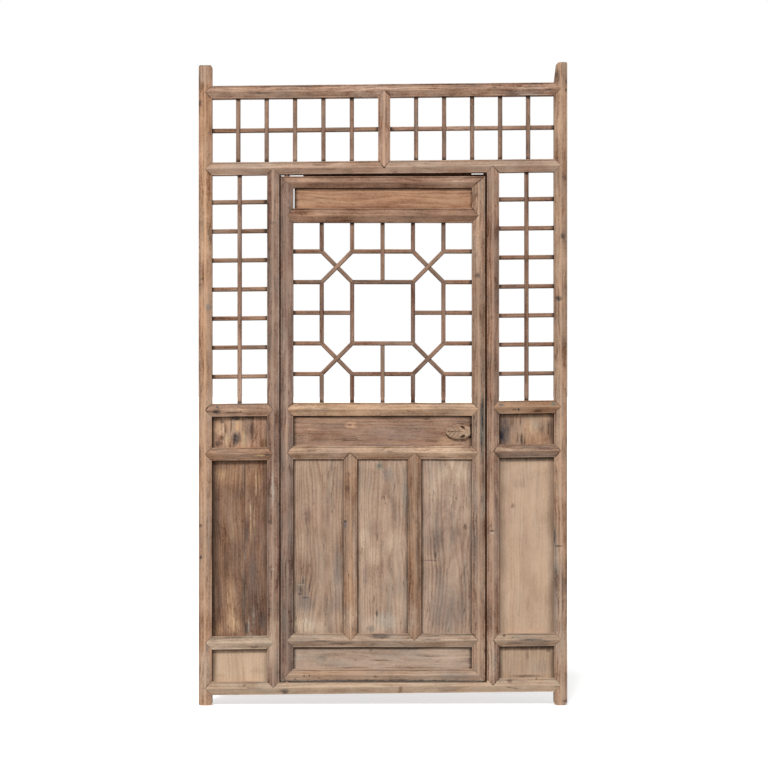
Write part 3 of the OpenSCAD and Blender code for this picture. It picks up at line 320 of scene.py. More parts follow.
# A copy of a CAD piece with its arrises rubbed down and nicked at the front and its faces gone a little uneven, cut
# across every few centimetres so that the wear can vary along it. It only ever loses wood, so it stays inside the
# CAD piece. Tips is how far the two ends are rounded off.
def weathered(node, body, turn, look, arris=ARRIS, wear=WEAR, step=0.02, seed=0.0, tips=0.0):
    bm = bmesh.new()
    bm.from_mesh(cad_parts[node].data)
    bmesh.ops.remove_doubles(bm, verts=bm.verts, dist=TOUCHING)
    bmesh.ops.dissolve_limit(bm, angle_limit=math.radians(0.5), verts=bm.verts, edges=bm.edges)
    run = Vector((math.cos(turn), 0, math.sin(turn)))
    places = [v.co.dot(run) for v in bm.verts]
    low, high = min(places), max(places)
    for rounding, zone in ((tips, END_ZONE), (arris, WHOLE_LENGTH)):
        sharp = []
        for e in bm.edges:
            if len(e.link_faces) != 2 or not e.is_convex:
                continue
            if e.calc_length() > LONG_EDGE and e.calc_face_angle() > SHARP_EDGE:
                ends = [v.co.dot(run) for v in e.verts]
                if max(ends) < low + zone or min(ends) > high - zone:
                    sharp.append(e)
        if rounding and sharp:
            bmesh.ops.bevel(
                bm,
                geom=sharp,
                offset=rounding,
                offset_type="OFFSET",
                segments=2,
                profile=0.5,
                affect="EDGES",
                clamp_overlap=False,
                material=-1,
            )
    cuts = max(int((high - low) / step), 1)
    for i in range(1, cuts):
        bmesh.ops.bisect_plane(
            bm,
            geom=bm.verts[:] + bm.edges[:] + bm.faces[:],
            dist=TOUCHING,
            plane_co=run * (low + (high - low) * i / cuts),
            plane_no=run,
        )
    bm.normal_update()
    offset = Vector((seed * 3.1, seed * 1.7, seed * 2.3))
    for v in bm.verts:
        along = v.co.dot(run)
        side = v.co - run * along
        spot = side * UNEVEN_ACROSS + run * along * UNEVEN_ALONG + offset
        rough = 0.5 + 0.5 * noise.noise(spot)
        corner = v.calc_shell_factor() - 1.0
        nick = max(noise.noise(spot * NICK_SIZE + offset) - 0.05, 0.0) * max(-v.normal.y, 0.0)
        v.co -= v.normal * (wear * rough + min(corner, 0.6) * nick * wear * NICK_DEPTH)
    mesh = bpy.data.meshes.new(node + "_aged")
    bm.to_mesh(mesh)
    bm.free()
    # The CAD piece's stored normals don't fit the worn faces.
    mesh.attributes.remove(mesh.attributes["custom_normal"])
    mesh.polygons.foreach_set("use_smooth", [True] * len(mesh.polygons))
    mesh.set_sharp_from_angle(angle=math.radians(15))
    mesh.materials.append(look)
    piece = bpy.data.objects.new(node + "_aged", mesh)
    scene.collection.objects.link(piece)
    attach(piece, body)
    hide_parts(node)
    return piece


# The middle of a piece, from the CAD box, is where its grain pattern is centred.
def middle(node):
    low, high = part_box(node)
    return (low + high) / 2


# A ridged timber: dirt in the groove beside its bead, and a crest rubbed pale and given a painted highlight.
RIDGED = {"quirk": 0.25, "crest": 0.65, "contrast": 1.15}
POST_HALF = 0.0255
for node, rgb, seed, amounts in (
    ("left_post", (187, 144, 113), 1.0, {
        "greyness": 0.25,
        "marks": (
            (-703, 1915, 27, 234, (218, 173, 136), 0.75),
            (-695, 646, 35, 508, (184, 146, 118), 0.7),
            (-679, 1076, 10, 1015, (172, 143, 122), 0.6),
            (-683, 1556, 12, 16, (148, 124, 110), 0.8),
            (-705, 1667, 7, 7, (120, 92, 74), 0.9),
            (-715, 1644, 6, 6, (125, 96, 78), 0.9),
            (-717, 1790, 5, 6, (120, 90, 70), 0.9),
            (-695, 2466, 35, 55, (174, 145, 124), 0.75),
            (-695, 115, 35, 117, (184, 158, 136), 0.75),
            (-713, 703, 7, 7, (115, 85, 70), 0.95),
            (-711, 578, 8, 7, (85, 72, 66), 0.95),
            (-719, 2443, 7, 40, (125, 98, 80), 0.94),
            (-707, 2419, 9, 20, (120, 90, 72), 0.85),
            (-715, 2353, 8, 18, (110, 85, 68), 0.94),
            (-687, 225, 9, 27, (150, 130, 115), 0.81),
        ),
    }),
    ("right_post", (177, 141, 115), 2.0, {
        "greyness": 0.35,
        "marks": (
            (691, 334, 35, 293, (164, 140, 122), 0.7),
            (691, 1583, 35, 86, (194, 153, 123), 0.5),
            (682, 2454, 9, 39, (112, 92, 80), 0.9),
            (697, 2482, 4, 35, (124, 94, 76), 0.8),
            (715, 2435, 4, 12, (80, 60, 50), 0.9),
            (715, 2404, 4, 8, (66, 50, 44), 0.95),
            (701, 1833, 12, 14, (92, 76, 66), 1.0),
            (686, 1589, 16, 12, (92, 77, 68), 1.0),
            (709, 2060, 8, 16, (120, 98, 86), 0.8),
            (652, 810, 5, 5, (85, 60, 48), 0.95),
            (670, 658, 4, 40, (75, 65, 60), 0.95),
            (685, 623, 18, 4, (85, 72, 62), 0.95),
            (670, 490, 13, 269, (150, 132, 118), 0.74),
            (711, 18, 16, 5, (104, 86, 74), 0.85),
        ),
    }),
):
    look = wood(node, rgb, middle(node), UPRIGHT, POST_HALF, seed, **RIDGED, **amounts)
    weathered(node, "frame", UPRIGHT, look, seed=seed, tips=0.006)

# HEAD RAIL, TRANSOM RAIL AND SILL
# The three long crosspieces, with arrow-shaped shoulders that reach the crest of each post and hidden tenons.
# The transom rail and the sill are bored for the leaf's pins, and the sill is worn down in the doorway.

# A rail is moulded like the posts, and its crest is less rubbed and less brightened by painted highlight.
MOULDED = {"quirk": 0.25, "crest": 0.25}
for node, rgb, half, seed, amounts in (
    ("head_rail", (171, 134, 111), 0.025, 3.0, {
        "greyness": 0.35,
        "under": 0.15,
        "contrast": 1.5,
        "marks": (
            (432, 2414, 10, 3, (58, 50, 48), 0.95),
            (414, 2404, 14, 8, (140, 100, 76), 0.8),
            (648, 2405, 23, 5, (98, 80, 70), 0.85),
            (597, 2411, 27, 3, (192, 166, 148), 0.7),
            (-558, 2413, 62, 4, (196, 160, 130), 0.7),
            (-473, 2392, 47, 5, (124, 96, 80), 0.75),
            (-4, 2400, 148, 35, (198, 162, 139), 0.8),
            (586, 2396, 78, 35, (192, 160, 139), 0.75),
        ),
    }),
    ("transom_rail", (187, 154, 131), 0.025, 4.0, {
        "greyness": 0.35,
        "under": 0.25,
        "contrast": 0.8,
        "marks": (
            (-66, 2107, 86, 35, (168, 132, 109), 0.7),
            (590, 2107, 78, 35, (164, 128, 106), 0.75),
            (-465, 2099, 78, 35, (204, 171, 147), 0.7),
        ),
    }),
    ("sill", (191, 162, 136), 0.026, 5.0, {
        "greyness": 0.3,
        "contrast": 0.75,
        "marks": (
            (527, 76, 141, 35, (182, 156, 133), 0.7),
            (-473, 68, 70, 35, (180, 156, 134), 0.6),
            (-384, 54, 20, 13, (112, 98, 88), 0.95),
            (-384, 54, 10, 5, (190, 158, 130), 0.95),
            (68, 62, 11, 18, (140, 110, 90), 0.95),
            (-543, 78, 9, 7, (145, 120, 98), 0.94),
            (494, 96, 13, 9, (130, 106, 88), 0.95),
            (599, 105, 5, 4, (115, 88, 72), 0.95),
        ),
    }),
):
    look = wood(node, rgb, middle(node), RACK, half, seed, **MOULDED, **amounts)
    # The sill keeps its back edge, so that no light passes under the leaf.
    arris, wear = (0.0004, 0.0003) if node == "sill" else (ARRIS, WEAR)
    weathered(node, "frame", RACK, look, arris=arris, wear=wear, seed=seed)

# MULLION AND JAMBS
# The short upright between the transom lights and the two that stand beside the leaf, ridged like the posts.
# Their pointed ends are let into the crests of the rails above and below.

JAMB_HALF = 0.024
for node, rgb, slot, seed, amounts in (
    ("mullion", (189, 149, 124), "rail_wood", 6.0, {"greyness": 0.35}),
    ("left_jamb", (159, 127, 109), "jamb_wood", 7.0, {
        "greyness": 0.4,
        "marks": (
            (-430, 1974, 31, 102, (182, 148, 127), 0.75),
            (-426, 1369, 31, 109, (138, 108, 91), 0.75),
            (-445, 1623, 9, 449, (130, 102, 87), 0.75),
            (-409, 1623, 4, 430, (176, 146, 130), 0.7),
            (-430, 275, 31, 187, (176, 145, 122), 0.75),
            (-430, 849, 7, 72, (186, 166, 150), 0.94),
            (-441, 718, 10, 11, (112, 92, 82), 0.95),
            (-433, 1886, 14, 10, (118, 96, 86), 0.75),
            (-430, 533, 11, 5, (178, 158, 142), 0.95),
            (-447, 568, 7, 404, (125, 102, 90), 0.68),
        ),
    }),
    ("right_jamb", (160, 125, 104), "jamb_wood", 8.0, {
        "greyness": 0.35,
        "marks": (
            (426, 185, 31, 109, (186, 157, 135), 0.8),
            (426, 978, 31, 94, (174, 140, 118), 0.6),
            (425, 682, 12, 5, (85, 68, 58), 0.95),
            (422, 1515, 9, 10, (122, 96, 82), 0.8),
            (425, 674, 13, 4, (185, 158, 135), 0.94),
            (443, 646, 11, 332, (134, 110, 96), 0.75),
            (443, 1466, 11, 508, (138, 108, 92), 0.75),
            (416, 1544, 12, 508, (166, 127, 101), 0.6),
            (422, 802, 5, 135, (186, 150, 120), 0.68),
        ),
    }),
):
    look = wood(node, rgb, middle(node), UPRIGHT, JAMB_HALF, seed, **RIDGED, **amounts)
    weathered(node, "frame", UPRIGHT, look, seed=seed)

# SIDE RAILS
# Six short rails between the posts and the jambs, above, between and below the side panels.
# They are the same moulded stock, pointed at both ends, and weathered unevenly.

SIDE_RAIL_HALF = 0.0255
for node, rgb, seed, amounts in (
    ("left_upper_rail", (172, 136, 113), 9.0, {
        "under": 0.1,
        "contrast": 1.1,
        "marks": (
            (-558, 1175, 102, 9, (184, 148, 124), 0.6),
            (-651, 1147, 20, 10, (62, 56, 56), 0.95),
            (-646, 1166, 7, 6, (88, 84, 84), 0.95),
            (-594, 1143, 49, 4, (110, 76, 56), 0.94),
            (-558, 1152, 63, 4, (205, 166, 130), 0.81),
        ),
    }),
    ("left_middle_rail", (152, 114, 89), 10.0, {
        "under": 0.12,
        "contrast": 1.5,
        "marks": (
            (-451, 981, 16, 8, (108, 88, 78), 0.95),
            (-480, 977, 27, 3, (208, 168, 118), 0.95),
            (-574, 990, 63, 3, (130, 98, 76), 0.81),
        ),
    }),
    ("left_lower_rail", (191, 165, 141), 11.0, {
        "greyness": 0.3,
        "contrast": 1.0,
        "marks": (
            (-501, 228, 22, 6, (130, 108, 92), 0.94),
            (-664, 256, 13, 13, (170, 150, 132), 0.81),
        ),
    }),
    ("right_upper_rail", (173, 135, 106), 12.0, {
        "under": 0.15,
        "contrast": 0.7,
        "marks": (
            (462, 1174, 18, 8, (118, 104, 95), 0.95),
            (509, 1156, 4, 5, (75, 56, 42), 0.95),
            (517, 1156, 4, 5, (85, 62, 48), 0.95),
            (530, 1156, 6, 6, (55, 50, 46), 0.95),
            (604, 1151, 22, 7, (112, 88, 72), 0.95),
            (666, 1177, 11, 9, (125, 128, 120), 0.94),
        ),
    }),
    ("right_middle_rail", (160, 129, 108), 13.0, {
        "under": 0.2,
        "contrast": 0.95,
        "marks": (
            (629, 1005, 49, 6, (118, 90, 76), 0.95),
            (545, 980, 81, 8, (132, 106, 94), 0.81),
            (447, 975, 18, 10, (108, 94, 82), 0.95),
            (488, 998, 31, 7, (192, 164, 138), 0.81),
        ),
    }),
    ("right_lower_rail", (170, 143, 121), 14.0, {
        "under": 0.15,
        "contrast": 0.6,
        "marks": (
            (473, 273, 7, 6, (78, 66, 60), 0.95),
            (452, 284, 7, 7, (66, 60, 56), 0.95),
            (578, 257, 54, 4, (112, 96, 84), 0.95),
            (515, 244, 40, 4, (112, 96, 84), 0.81),
        ),
    }),
):
    look = wood(node, rgb, middle(node), RACK, SIDE_RAIL_HALF, seed, **MOULDED, **amounts)
    weathered(node, "frame", RACK, look, seed=seed)

# FRAME LATTICES
# Thin square bars with rubbed front edges, half-lapped where they cross and seated in the members' sides.
# They fill the transom lights and the upper part of both side bays; dirt and painted shade darken their ends.


def lattice_bar(node, body, rgb, turn, half_length, seed):
    look = wood(node, rgb, middle(node), turn, 1.0, seed, half_length=half_length, end=0.9, far_end=0.9)
    weathered(node, body, turn, look, arris=0.0, wear=0.0004, seed=seed)


for node, rgb, turn, half_length, seed in (
    ("left_transom_uprights", (158, 124, 103), UPRIGHT, 0.1245, 15.0),
    ("left_transom_crossbar", (156, 119, 95), RACK, 0.325, 16.0),
    ("right_transom_uprights", (148, 116, 97), UPRIGHT, 0.1245, 17.0),
    ("right_transom_crossbar", (164, 129, 108), RACK, 0.32, 18.0),
    ("left_side_upright", (162, 127, 106), UPRIGHT, 0.446, 19.0),
    ("left_side_crossbars", (156, 119, 95), RACK, 0.108, 20.0),
    ("right_side_upright", (144, 110, 90), UPRIGHT, 0.446, 21.0),
    ("right_side_crossbars", (146, 109, 88), RACK, 0.108, 22.0),
):
    lattice_bar(node, "frame", rgb, turn, half_length, seed)

# SIDE PANELS
# Thin boards held loose in grooves between the posts, the jambs and the side rails, with upright grain.
# The two upper panels on the left are each of two boards, and every board has aged to its own colour.

# The middle of the left bay, and half the width of either.
LEFT_BAY = -0.561
BAY_HALF = 0.108
# How far a panel reaches into the grooves.
TONGUE = 0.0075
# A flat board is cut across less often than a moulded timber.
BOARD_STEP = 0.06
# Each panel's rims and upper end are darkened with dirt and with painted shade from the members round it.
for node, rgb, slot, seed, amounts in (
    ("left_waist_outer_board", (175, 137, 111), "panel_wood", 23.0, {
        "contrast": 1.2,
        "rim": 0.95,
        "rim_width": 0.017,
        "end": 0.6,
        "end_width": 0.012,
        "marks": (
            (-639, 1081, 22, 31, (214, 176, 142), 0.85),
            (-609, 1033, 13, 31, (212, 172, 134), 0.95),
            (-572, 1045, 20, 29, (74, 64, 60), 0.95),
            (-576, 1122, 22, 9, (52, 46, 44), 0.95),
            (-630, 1107, 9, 8, (100, 76, 72), 0.95),
            (-617, 1080, 6, 31, (105, 76, 58), 0.95),
            (-594, 1091, 4, 31, (110, 80, 60), 0.94),
            (-630, 1045, 13, 12, (110, 80, 62), 0.95),
            (-643, 1023, 20, 12, (112, 84, 70), 0.95),
            (-570, 1091, 13, 22, (196, 150, 108), 0.81),
        ),
    }),
    ("left_waist_inner_board", (177, 139, 114), "panel_wood", 24.0, {
        "contrast": 1.1,
        "far_rim": 0.55,
        "end": 0.6,
        "end_width": 0.012,
        "marks": (
            (-512, 1076, 12, 45, (122, 98, 84), 0.95),
            (-545, 1037, 8, 40, (196, 164, 120), 0.81),
            (-470, 1022, 18, 22, (138, 104, 76), 0.94),
            (-519, 1124, 22, 6, (70, 52, 42), 0.94),
        ),
    }),
    ("left_tall_outer_board", (146, 111, 88), "brown_wood", 25.0, {
        "greyness": 0.2,
        "contrast": 0.85,
        "rim": 0.8,
        "rim_width": 0.036,
        "end": 0.35,
        "marks": (
            (-597, 896, 70, 51, (166, 126, 97), 0.75),
            (-605, 451, 70, 102, (134, 102, 81), 0.5),
            (-594, 404, 20, 141, (190, 150, 116), 0.85),
            (-648, 412, 16, 156, (108, 81, 64), 0.7),
            (-541, 873, 4, 94, (84, 68, 58), 0.95),
            (-541, 529, 2, 312, (96, 78, 68), 0.9),
            (-644, 295, 20, 29, (172, 135, 104), 0.75),
            (-574, 307, 18, 36, (176, 140, 108), 0.8),
            (-633, 908, 27, 22, (172, 138, 108), 0.81),
            (-613, 568, 11, 63, (112, 86, 72), 0.74),
            (-590, 666, 13, 90, (158, 126, 100), 0.61),
            (-644, 724, 18, 117, (118, 90, 74), 0.68),
            (-640, 412, 12, 102, (112, 82, 68), 0.7),
            (-662, 412, 5, 133, (60, 44, 36), 0.75),
            (-594, 318, 33, 47, (166, 130, 104), 0.7),
            (-547, 396, 9, 133, (118, 104, 92), 0.8),
        ),
    }),
    ("left_tall_inner_board", (144, 109, 88), "brown_wood", 26.0, {
        "greyness": 0.25,
        "contrast": 0.85,
        "far_rim": 0.4,
        "rim_width": 0.03,
        "end": 0.35,
        "marks": (
            (-504, 896, 47, 51, (162, 123, 95), 0.75),
            (-508, 412, 47, 141, (116, 97, 85), 0.75),
            (-541, 873, 4, 94, (84, 68, 58), 0.95),
            (-541, 529, 2, 312, (96, 78, 68), 0.9),
            (-537, 678, 14, 72, (104, 84, 74), 0.81),
            (-545, 490, 12, 67, (108, 90, 80), 0.81),
            (-539, 299, 20, 31, (92, 82, 76), 0.94),
            (-496, 865, 4, 58, (196, 164, 132), 0.95),
            (-484, 877, 4, 54, (186, 152, 120), 0.81),
            (-518, 713, 4, 94, (198, 166, 134), 0.95),
            (-502, 720, 4, 76, (182, 150, 120), 0.74),
            (-512, 549, 22, 63, (122, 96, 84), 0.68),
            (-476, 334, 18, 40, (104, 90, 82), 0.74),
            (-526, 314, 4, 35, (200, 176, 154), 0.9),
            (-506, 342, 4, 51, (184, 162, 144), 0.9),
            (-516, 289, 5, 6, (70, 58, 48), 0.8),
            (-512, 275, 35, 5, (140, 122, 106), 0.7),
        ),
    }),
    ("right_waist_panel", (175, 138, 111), "panel_wood", 28.0, {
        "contrast": 0.85,
        "rim": 0.7,
        "far_rim": 0.9,
        "rim_width": 0.018,
        "end": 0.85,
        "end_width": 0.014,
        "marks": (
            (473, 1072, 34, 82, (86, 74, 71), 0.95),
            (462, 1052, 14, 27, (66, 58, 58), 0.95),
            (583, 1081, 49, 45, (200, 164, 132), 0.81),
            (653, 1086, 13, 67, (116, 90, 76), 0.94),
            (543, 1037, 5, 31, (92, 68, 52), 0.95),
            (527, 1045, 4, 22, (100, 74, 56), 0.94),
            (537, 1111, 4, 22, (106, 78, 56), 0.95),
            (621, 1084, 20, 31, (146, 118, 98), 0.81),
            (504, 1111, 9, 27, (118, 90, 74), 0.81),
        ),
    }),
    ("right_tall_panel", (198, 167, 141), "pale_wood", 29.0, {
        "greyness": 0.12,
        "contrast": 0.4,
        "cracks": 0.15,
        "rim": 0.4,
        "far_rim": 0.5,
        "rim_width": 0.036,
        "end": 0.85,
        "end_width": 0.018,
        "marks": (
            (536, 865, 27, 22, (176, 146, 122), 0.68),
            (558, 927, 78, 27, (212, 180, 152), 0.6),
            (557, 549, 27, 202, (176, 146, 122), 0.68),
            (509, 779, 8, 11, (158, 128, 106), 0.94),
        ),
    }),
    ("left_base_panel", (206, 176, 148), "pale_wood", 27.0, {
        "greyness": 0.12,
        "contrast": 0.4,
        "cracks": 0.1,
        "rim": 0.75,
        "far_rim": 0.35,
        "rim_width": 0.026,
        "end": 0.6,
        "marks": (
            (-488, 132, 31, 13, (186, 159, 134), 0.7),
            (-637, 115, 27, 9, (190, 160, 130), 0.6),
        ),
    }),
    ("right_base_panel", (182, 153, 128), "panel_wood", 30.0, {
        "greyness": 0.2,
        "contrast": 0.5,
        "cracks": 0.2,
        "rim": 0.7,
        "far_rim": 0.7,
        "rim_width": 0.026,
        "end": 0.85,
        "end_width": 0.02,
        "marks": (
            (566, 193, 7, 20, (148, 122, 102), 0.85),
            (646, 213, 9, 8, (112, 88, 74), 0.95),
            (617, 146, 43, 31, (164, 141, 124), 0.6),
            (562, 113, 74, 6, (112, 92, 78), 0.9),
        ),
    }),
):
    x, y, z = middle(node)
    x = LEFT_BAY if node.startswith("left") else x
    half_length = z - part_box(node)[0].z - TONGUE
    look = wood(node, rgb, (x, y, z), UPRIGHT, BAY_HALF, seed, half_length=half_length, **amounts)
    weathered(node, "frame", UPRIGHT, look, arris=0.0, wear=0.0001, step=BOARD_STEP, seed=seed)

# DRAUGHT STRIPS
# Rough laths nailed behind the leaf's edges, to the jambs and under the transom rail.
# They close the gaps round the leaf, except for a slit of light at both upper corners.

for node, rgb, turn, seed, marks in (
    # The hinge strip is painted much paler than its wood, as painted light in its shaded gap, and its marks are
    # painted shade.
    ("hinge_strip", (236, 194, 164), UPRIGHT, 31.0, (
        (-402, 1681, 35, 117, (178, 140, 114), 0.8),
        (-402, 998, 35, 137, (186, 148, 122), 0.8),
        (-402, 549, 35, 176, (122, 92, 72), 0.9),
    )),
    ("head_strip", (112, 78, 56), RACK, 32.0, ()),
    # The closing strip's two dark marks are painted shade in its gap.
    ("closing_strip", (150, 98, 64), UPRIGHT, 33.0, (
        (402, 2005, 35, 102, (40, 18, 10), 1.0),
        (402, 1146, 35, 164, (36, 18, 10), 1.0),
    )),
):
    look = wood(node, rgb, middle(node), turn, 1.0, seed, greyness=0.1, contrast=0.7, spread=0.6, marks=marks)
    weathered(node, "frame", turn, look, arris=0.0, wear=0.0, step=0.08, seed=seed)

# LEAF STILES
# The two uprights of the leaf, mitred to its end rails on the face. The hanging stile ends in round pins, cut
# from the same timber, and the closing stile has weathered grey along its outer edge.

for node, rgb, half, seed, amounts in (
    ("hanging_stile", (144, 115, 100), 0.0244, 34.0, {
        "greyness": 0.4,
        "marks": (
            (-375, 1732, 27, 102, (138, 106, 90), 0.7),
            (-375, 1263, 27, 187, (168, 138, 121), 0.75),
            (-375, 783, 27, 109, (132, 103, 88), 0.75),
            (-363, 724, 9, 314, (122, 100, 90), 0.6),
            (-375, 392, 31, 242, (134, 111, 98), 0.75),
            (-379, 1037, 9, 117, (168, 132, 108), 0.68),
        ),
    }),
    ("closing_stile", (166, 133, 110), 0.026, 35.0, {
        "greyness": 0.35,
        "cracks": 0.9,
        "marks": (
            (371, 1837, 35, 203, (196, 158, 132), 0.8),
            (371, 607, 35, 102, (146, 116, 98), 0.8),
            (359, 1583, 10, 469, (150, 119, 100), 0.6),
            (389, 1388, 10, 234, (136, 108, 91), 0.7),
            (359, 842, 12, 273, (146, 123, 108), 0.7),
            (369, 1680, 12, 12, (92, 78, 70), 1.0),
            (388, 1084, 12, 153, (118, 112, 102), 0.95),
            (389, 1115, 3, 54, (62, 58, 54), 0.95),
            (385, 1017, 3, 40, (66, 62, 58), 0.95),
            (390, 1177, 3, 27, (66, 62, 58), 0.95),
            (389, 802, 9, 225, (140, 120, 106), 0.68),
            (363, 568, 9, 269, (146, 124, 108), 0.68),
        ),
    }),
):
    look = wood(node, rgb, middle(node), UPRIGHT, half, seed, **RIDGED, **amounts)
    weathered(node, "leaf", UPRIGHT, look, seed=seed)

# LEAF RAILS
# Six rails across the leaf, from the top rail to the bottom rail, tenoned into the stiles.
# The two at the top have stayed brown, and the ones below are bleached.

for node, rgb, half, slot, seed, amounts in (
    ("leaf_top_rail", (146, 110, 89), 0.023, "dark_rail_wood", 36.0, {
        "greyness": 0.2,
        "under": 0.35,
        "contrast": 1.15,
        "marks": (
            (-301, 2048, 66, 31, (168, 129, 105), 0.7),
            (308, 2048, 66, 31, (174, 138, 114), 0.8),
        ),
    }),
    ("leaf_upper_rail", (152, 116, 93), 0.028, "dark_rail_wood", 37.0, {
        "greyness": 0.2,
        "under": 0.2,
        "contrast": 1.15,
        "marks": (
            (-293, 1915, 70, 35, (182, 139, 111), 0.8),
            (226, 1915, 133, 35, (140, 101, 80), 0.7),
        ),
    }),
    ("leaf_lattice_rail", (199, 162, 131), 0.026, "pale_rail_wood", 38.0, {
        "greyness": 0.25,
        "under": 0.05,
        "contrast": 1.0,
        "marks": (
            (-293, 1158, 70, 35, (222, 187, 156), 0.75),
            (226, 1158, 133, 35, (188, 153, 124), 0.7),
        ),
    }),
    ("leaf_waist_rail", (185, 151, 124), 0.026, "pale_rail_wood", 39.0, {
        "greyness": 0.25,
        "under": 0.35,
        "contrast": 1.15,
        "marks": (
            (-176, 990, 70, 35, (168, 137, 118), 0.75),
            (226, 990, 133, 35, (210, 173, 143), 0.75),
        ),
    }),
    ("leaf_lower_rail", (177, 150, 128), 0.027, "rail_wood", 40.0, {
        "greyness": 0.35,
        "under": 0.3,
        "contrast": 0.9,
        "marks": (
            (-176, 260, 70, 23, (172, 146, 124), 0.5),
            (168, 260, 70, 23, (196, 168, 145), 0.6),
            (-10, 270, 49, 12, (112, 98, 88), 0.94),
            (-168, 241, 54, 6, (98, 78, 68), 0.94),
            (-230, 252, 40, 4, (108, 86, 74), 0.81),
            (184, 256, 63, 4, (112, 92, 78), 0.81),
        ),
    }),
    ("leaf_bottom_rail", (182, 150, 125), 0.023, "rail_wood", 41.0, {
        "greyness": 0.3,
        "contrast": 0.7,
        "marks": (
            # Painted shade along the foot, where the gap over the sill lies in shadow.
            (4, 97, 586, 4, (38, 28, 22), 0.95),
            (-187, 115, 172, 35, (168, 135, 111), 0.75),
            (176, 115, 172, 35, (202, 170, 143), 0.75),
            (-308, 116, 4, 4, (62, 44, 36), 0.95),
            (-288, 116, 4, 4, (62, 44, 36), 0.95),
            (-384, 103, 4, 4, (62, 44, 36), 0.95),
            (-344, 103, 4, 4, (62, 44, 36), 0.95),
            (-28, 112, 10, 4, (120, 82, 64), 0.95),
            (293, 115, 81, 18, (146, 126, 112), 0.7),
            (-246, 127, 117, 7, (190, 154, 122), 0.68),
        ),
    }),
):
    look = wood(node, rgb, middle(node), 0.0, half, seed, **MOULDED, **amounts)
    # The foot of the leaf keeps its edge, so that no light passes under it.
    arris, wear = (0.0003, 0.0001) if node == "leaf_bottom_rail" else (ARRIS, WEAR)
    weathered(node, "leaf", 0.0, look, arris=arris, wear=wear, seed=seed)

# MUNTINS
# Two uprights that part the three field panels, with pointed ends in the rails above and below.
# Their crests are rubbed down to warm, bare wood and brightened by a painted highlight.

MUNTIN_HALF = 0.0265
for node, rgb, seed, marks in (
    ("left_muntin", (168, 132, 106), 42.0, (
        (-129, 627, 35, 109, (156, 121, 98), 0.6),
        (-129, 342, 35, 62, (198, 166, 140), 0.85),
        (-127, 568, 13, 337, (190, 148, 114), 0.4),
        (-111, 568, 7, 312, (180, 149, 128), 0.75),
        (-144, 685, 9, 273, (152, 120, 99), 0.7),
        (-148, 719, 7, 7, (54, 50, 48), 0.95),
        (-148, 705, 8, 15, (126, 112, 106), 0.94),
        (-139, 847, 12, 14, (136, 106, 88), 0.94),
        (-132, 904, 8, 10, (140, 108, 90), 0.81),
    )),
    ("right_muntin", (155, 120, 96), 43.0, (
        (117, 342, 35, 62, (172, 142, 120), 0.75),
        (113, 607, 14, 292, (150, 113, 88), 0.8),
        (137, 646, 7, 269, (112, 88, 74), 0.81),
        (96, 802, 6, 72, (110, 84, 68), 0.81),
    )),
):
    look = wood(node, rgb, middle(node), UPRIGHT, MUNTIN_HALF, seed, quirk=0.25, crest=0.5, greyness=0.3, marks=marks)
    weathered(node, "leaf", UPRIGHT, look, seed=seed)

# LEAF PANELS
# Thin boards in grooves: a long frieze that has shrunk from the hanging stile, a waist panel that is stained round the
# pull and painted with the pull's shadow and a pale spot of light, three upright field panels and a long bottom panel.

# Half the width between the stiles.
LEAF_HALF = 0.349
# A panel's upper rim is painted shadow under the rail above, and its two ends are darkened with dirt and painted
# shade.
for node, rgb, half, slot, seed, amounts in (
    ("frieze_panel", (179, 135, 105), 0.04, "frieze_wood", 44.0, {
        "greyness": 0.08,
        "figure": 0.3,
        "contrast": 0.75,
        "rim": 0.95,
        "rim_width": 0.008,
        "marks": (
            (113, 1982, 117, 35, (194, 147, 114), 0.7),
            (4, 1945, 359, 9, (142, 100, 74), 0.75),
        ),
    }),
    ("waist_panel", (162, 127, 105), 0.059, "panel_wood", 45.0, {
        "greyness": 0.25,
        "contrast": 0.8,
        "rim": 0.95,
        "rim_width": 0.009,
        "marks": (
            (-305, 1068, 59, 55, (180, 142, 116), 0.75),
            (66, 1084, 62, 47, (150, 116, 95), 0.6),
            (-121, 1093, 47, 29, (134, 102, 84), 0.6),
            (-125, 1095, 27, 16, (226, 180, 146), 0.9),
            (-129, 1095, 9, 5, (112, 84, 70), 0.85),
            (66, 1060, 164, 27, (140, 110, 96), 0.65),
            (8, 1016, 180, 5, (116, 98, 90), 0.75),
            (269, 1029, 86, 16, (188, 150, 121), 0.75),
            (-207, 1115, 90, 13, (176, 142, 116), 0.54),
            (246, 1048, 22, 13, (168, 132, 106), 0.68),
            # Painted shade in the notch beside the closing stile.
            (345, 1071, 4, 16, (36, 18, 12), 0.95),
            (344, 1095, 4, 9, (112, 72, 56), 0.9),
            # A painted pale spot of light, with painted shade below it.
            (345, 1054, 4, 3, (215, 205, 215), 0.9),
            (341, 1048, 8, 4, (50, 22, 14), 0.95),
            # Painted shade in the hole at the pull's tip, and the pull's painted shadow along its lower edge.
            (252, 1057, 6, 6, (48, 28, 18), 0.95),
            (264, 1046, 9, 5, (86, 58, 42), 0.9),
            (283, 1036, 16, 4, (96, 68, 50), 0.85),
            (314, 1034, 16, 4, (78, 50, 36), 0.9),
        ),
    }),
    ("base_panel", (186, 160, 140), 0.0425, "panel_wood", 49.0, {
        "greyness": 0.35,
        "contrast": 0.55,
        "rim": 0.95,
        "rim_width": 0.011,
        "marks": (
            (-235, 183, 40, 25, (186, 164, 142), 0.81),
            (-235, 183, 20, 14, (166, 144, 128), 0.7),
            (-232, 181, 8, 6, (172, 150, 130), 0.94),
            (-10, 175, 45, 4, (130, 104, 88), 0.94),
            (121, 146, 144, 4, (130, 108, 94), 0.81),
            (-109, 146, 72, 4, (136, 112, 98), 0.81),
            (184, 193, 81, 4, (152, 128, 112), 0.68),
        ),
    }),
):
    look = wood(node, rgb, middle(node), 0.0, half, seed, half_length=LEAF_HALF, end=0.85, far_end=0.85, **amounts)
    weathered(node, "leaf", 0.0, look, arris=0.0, wear=0.0003, step=BOARD_STEP, seed=seed)

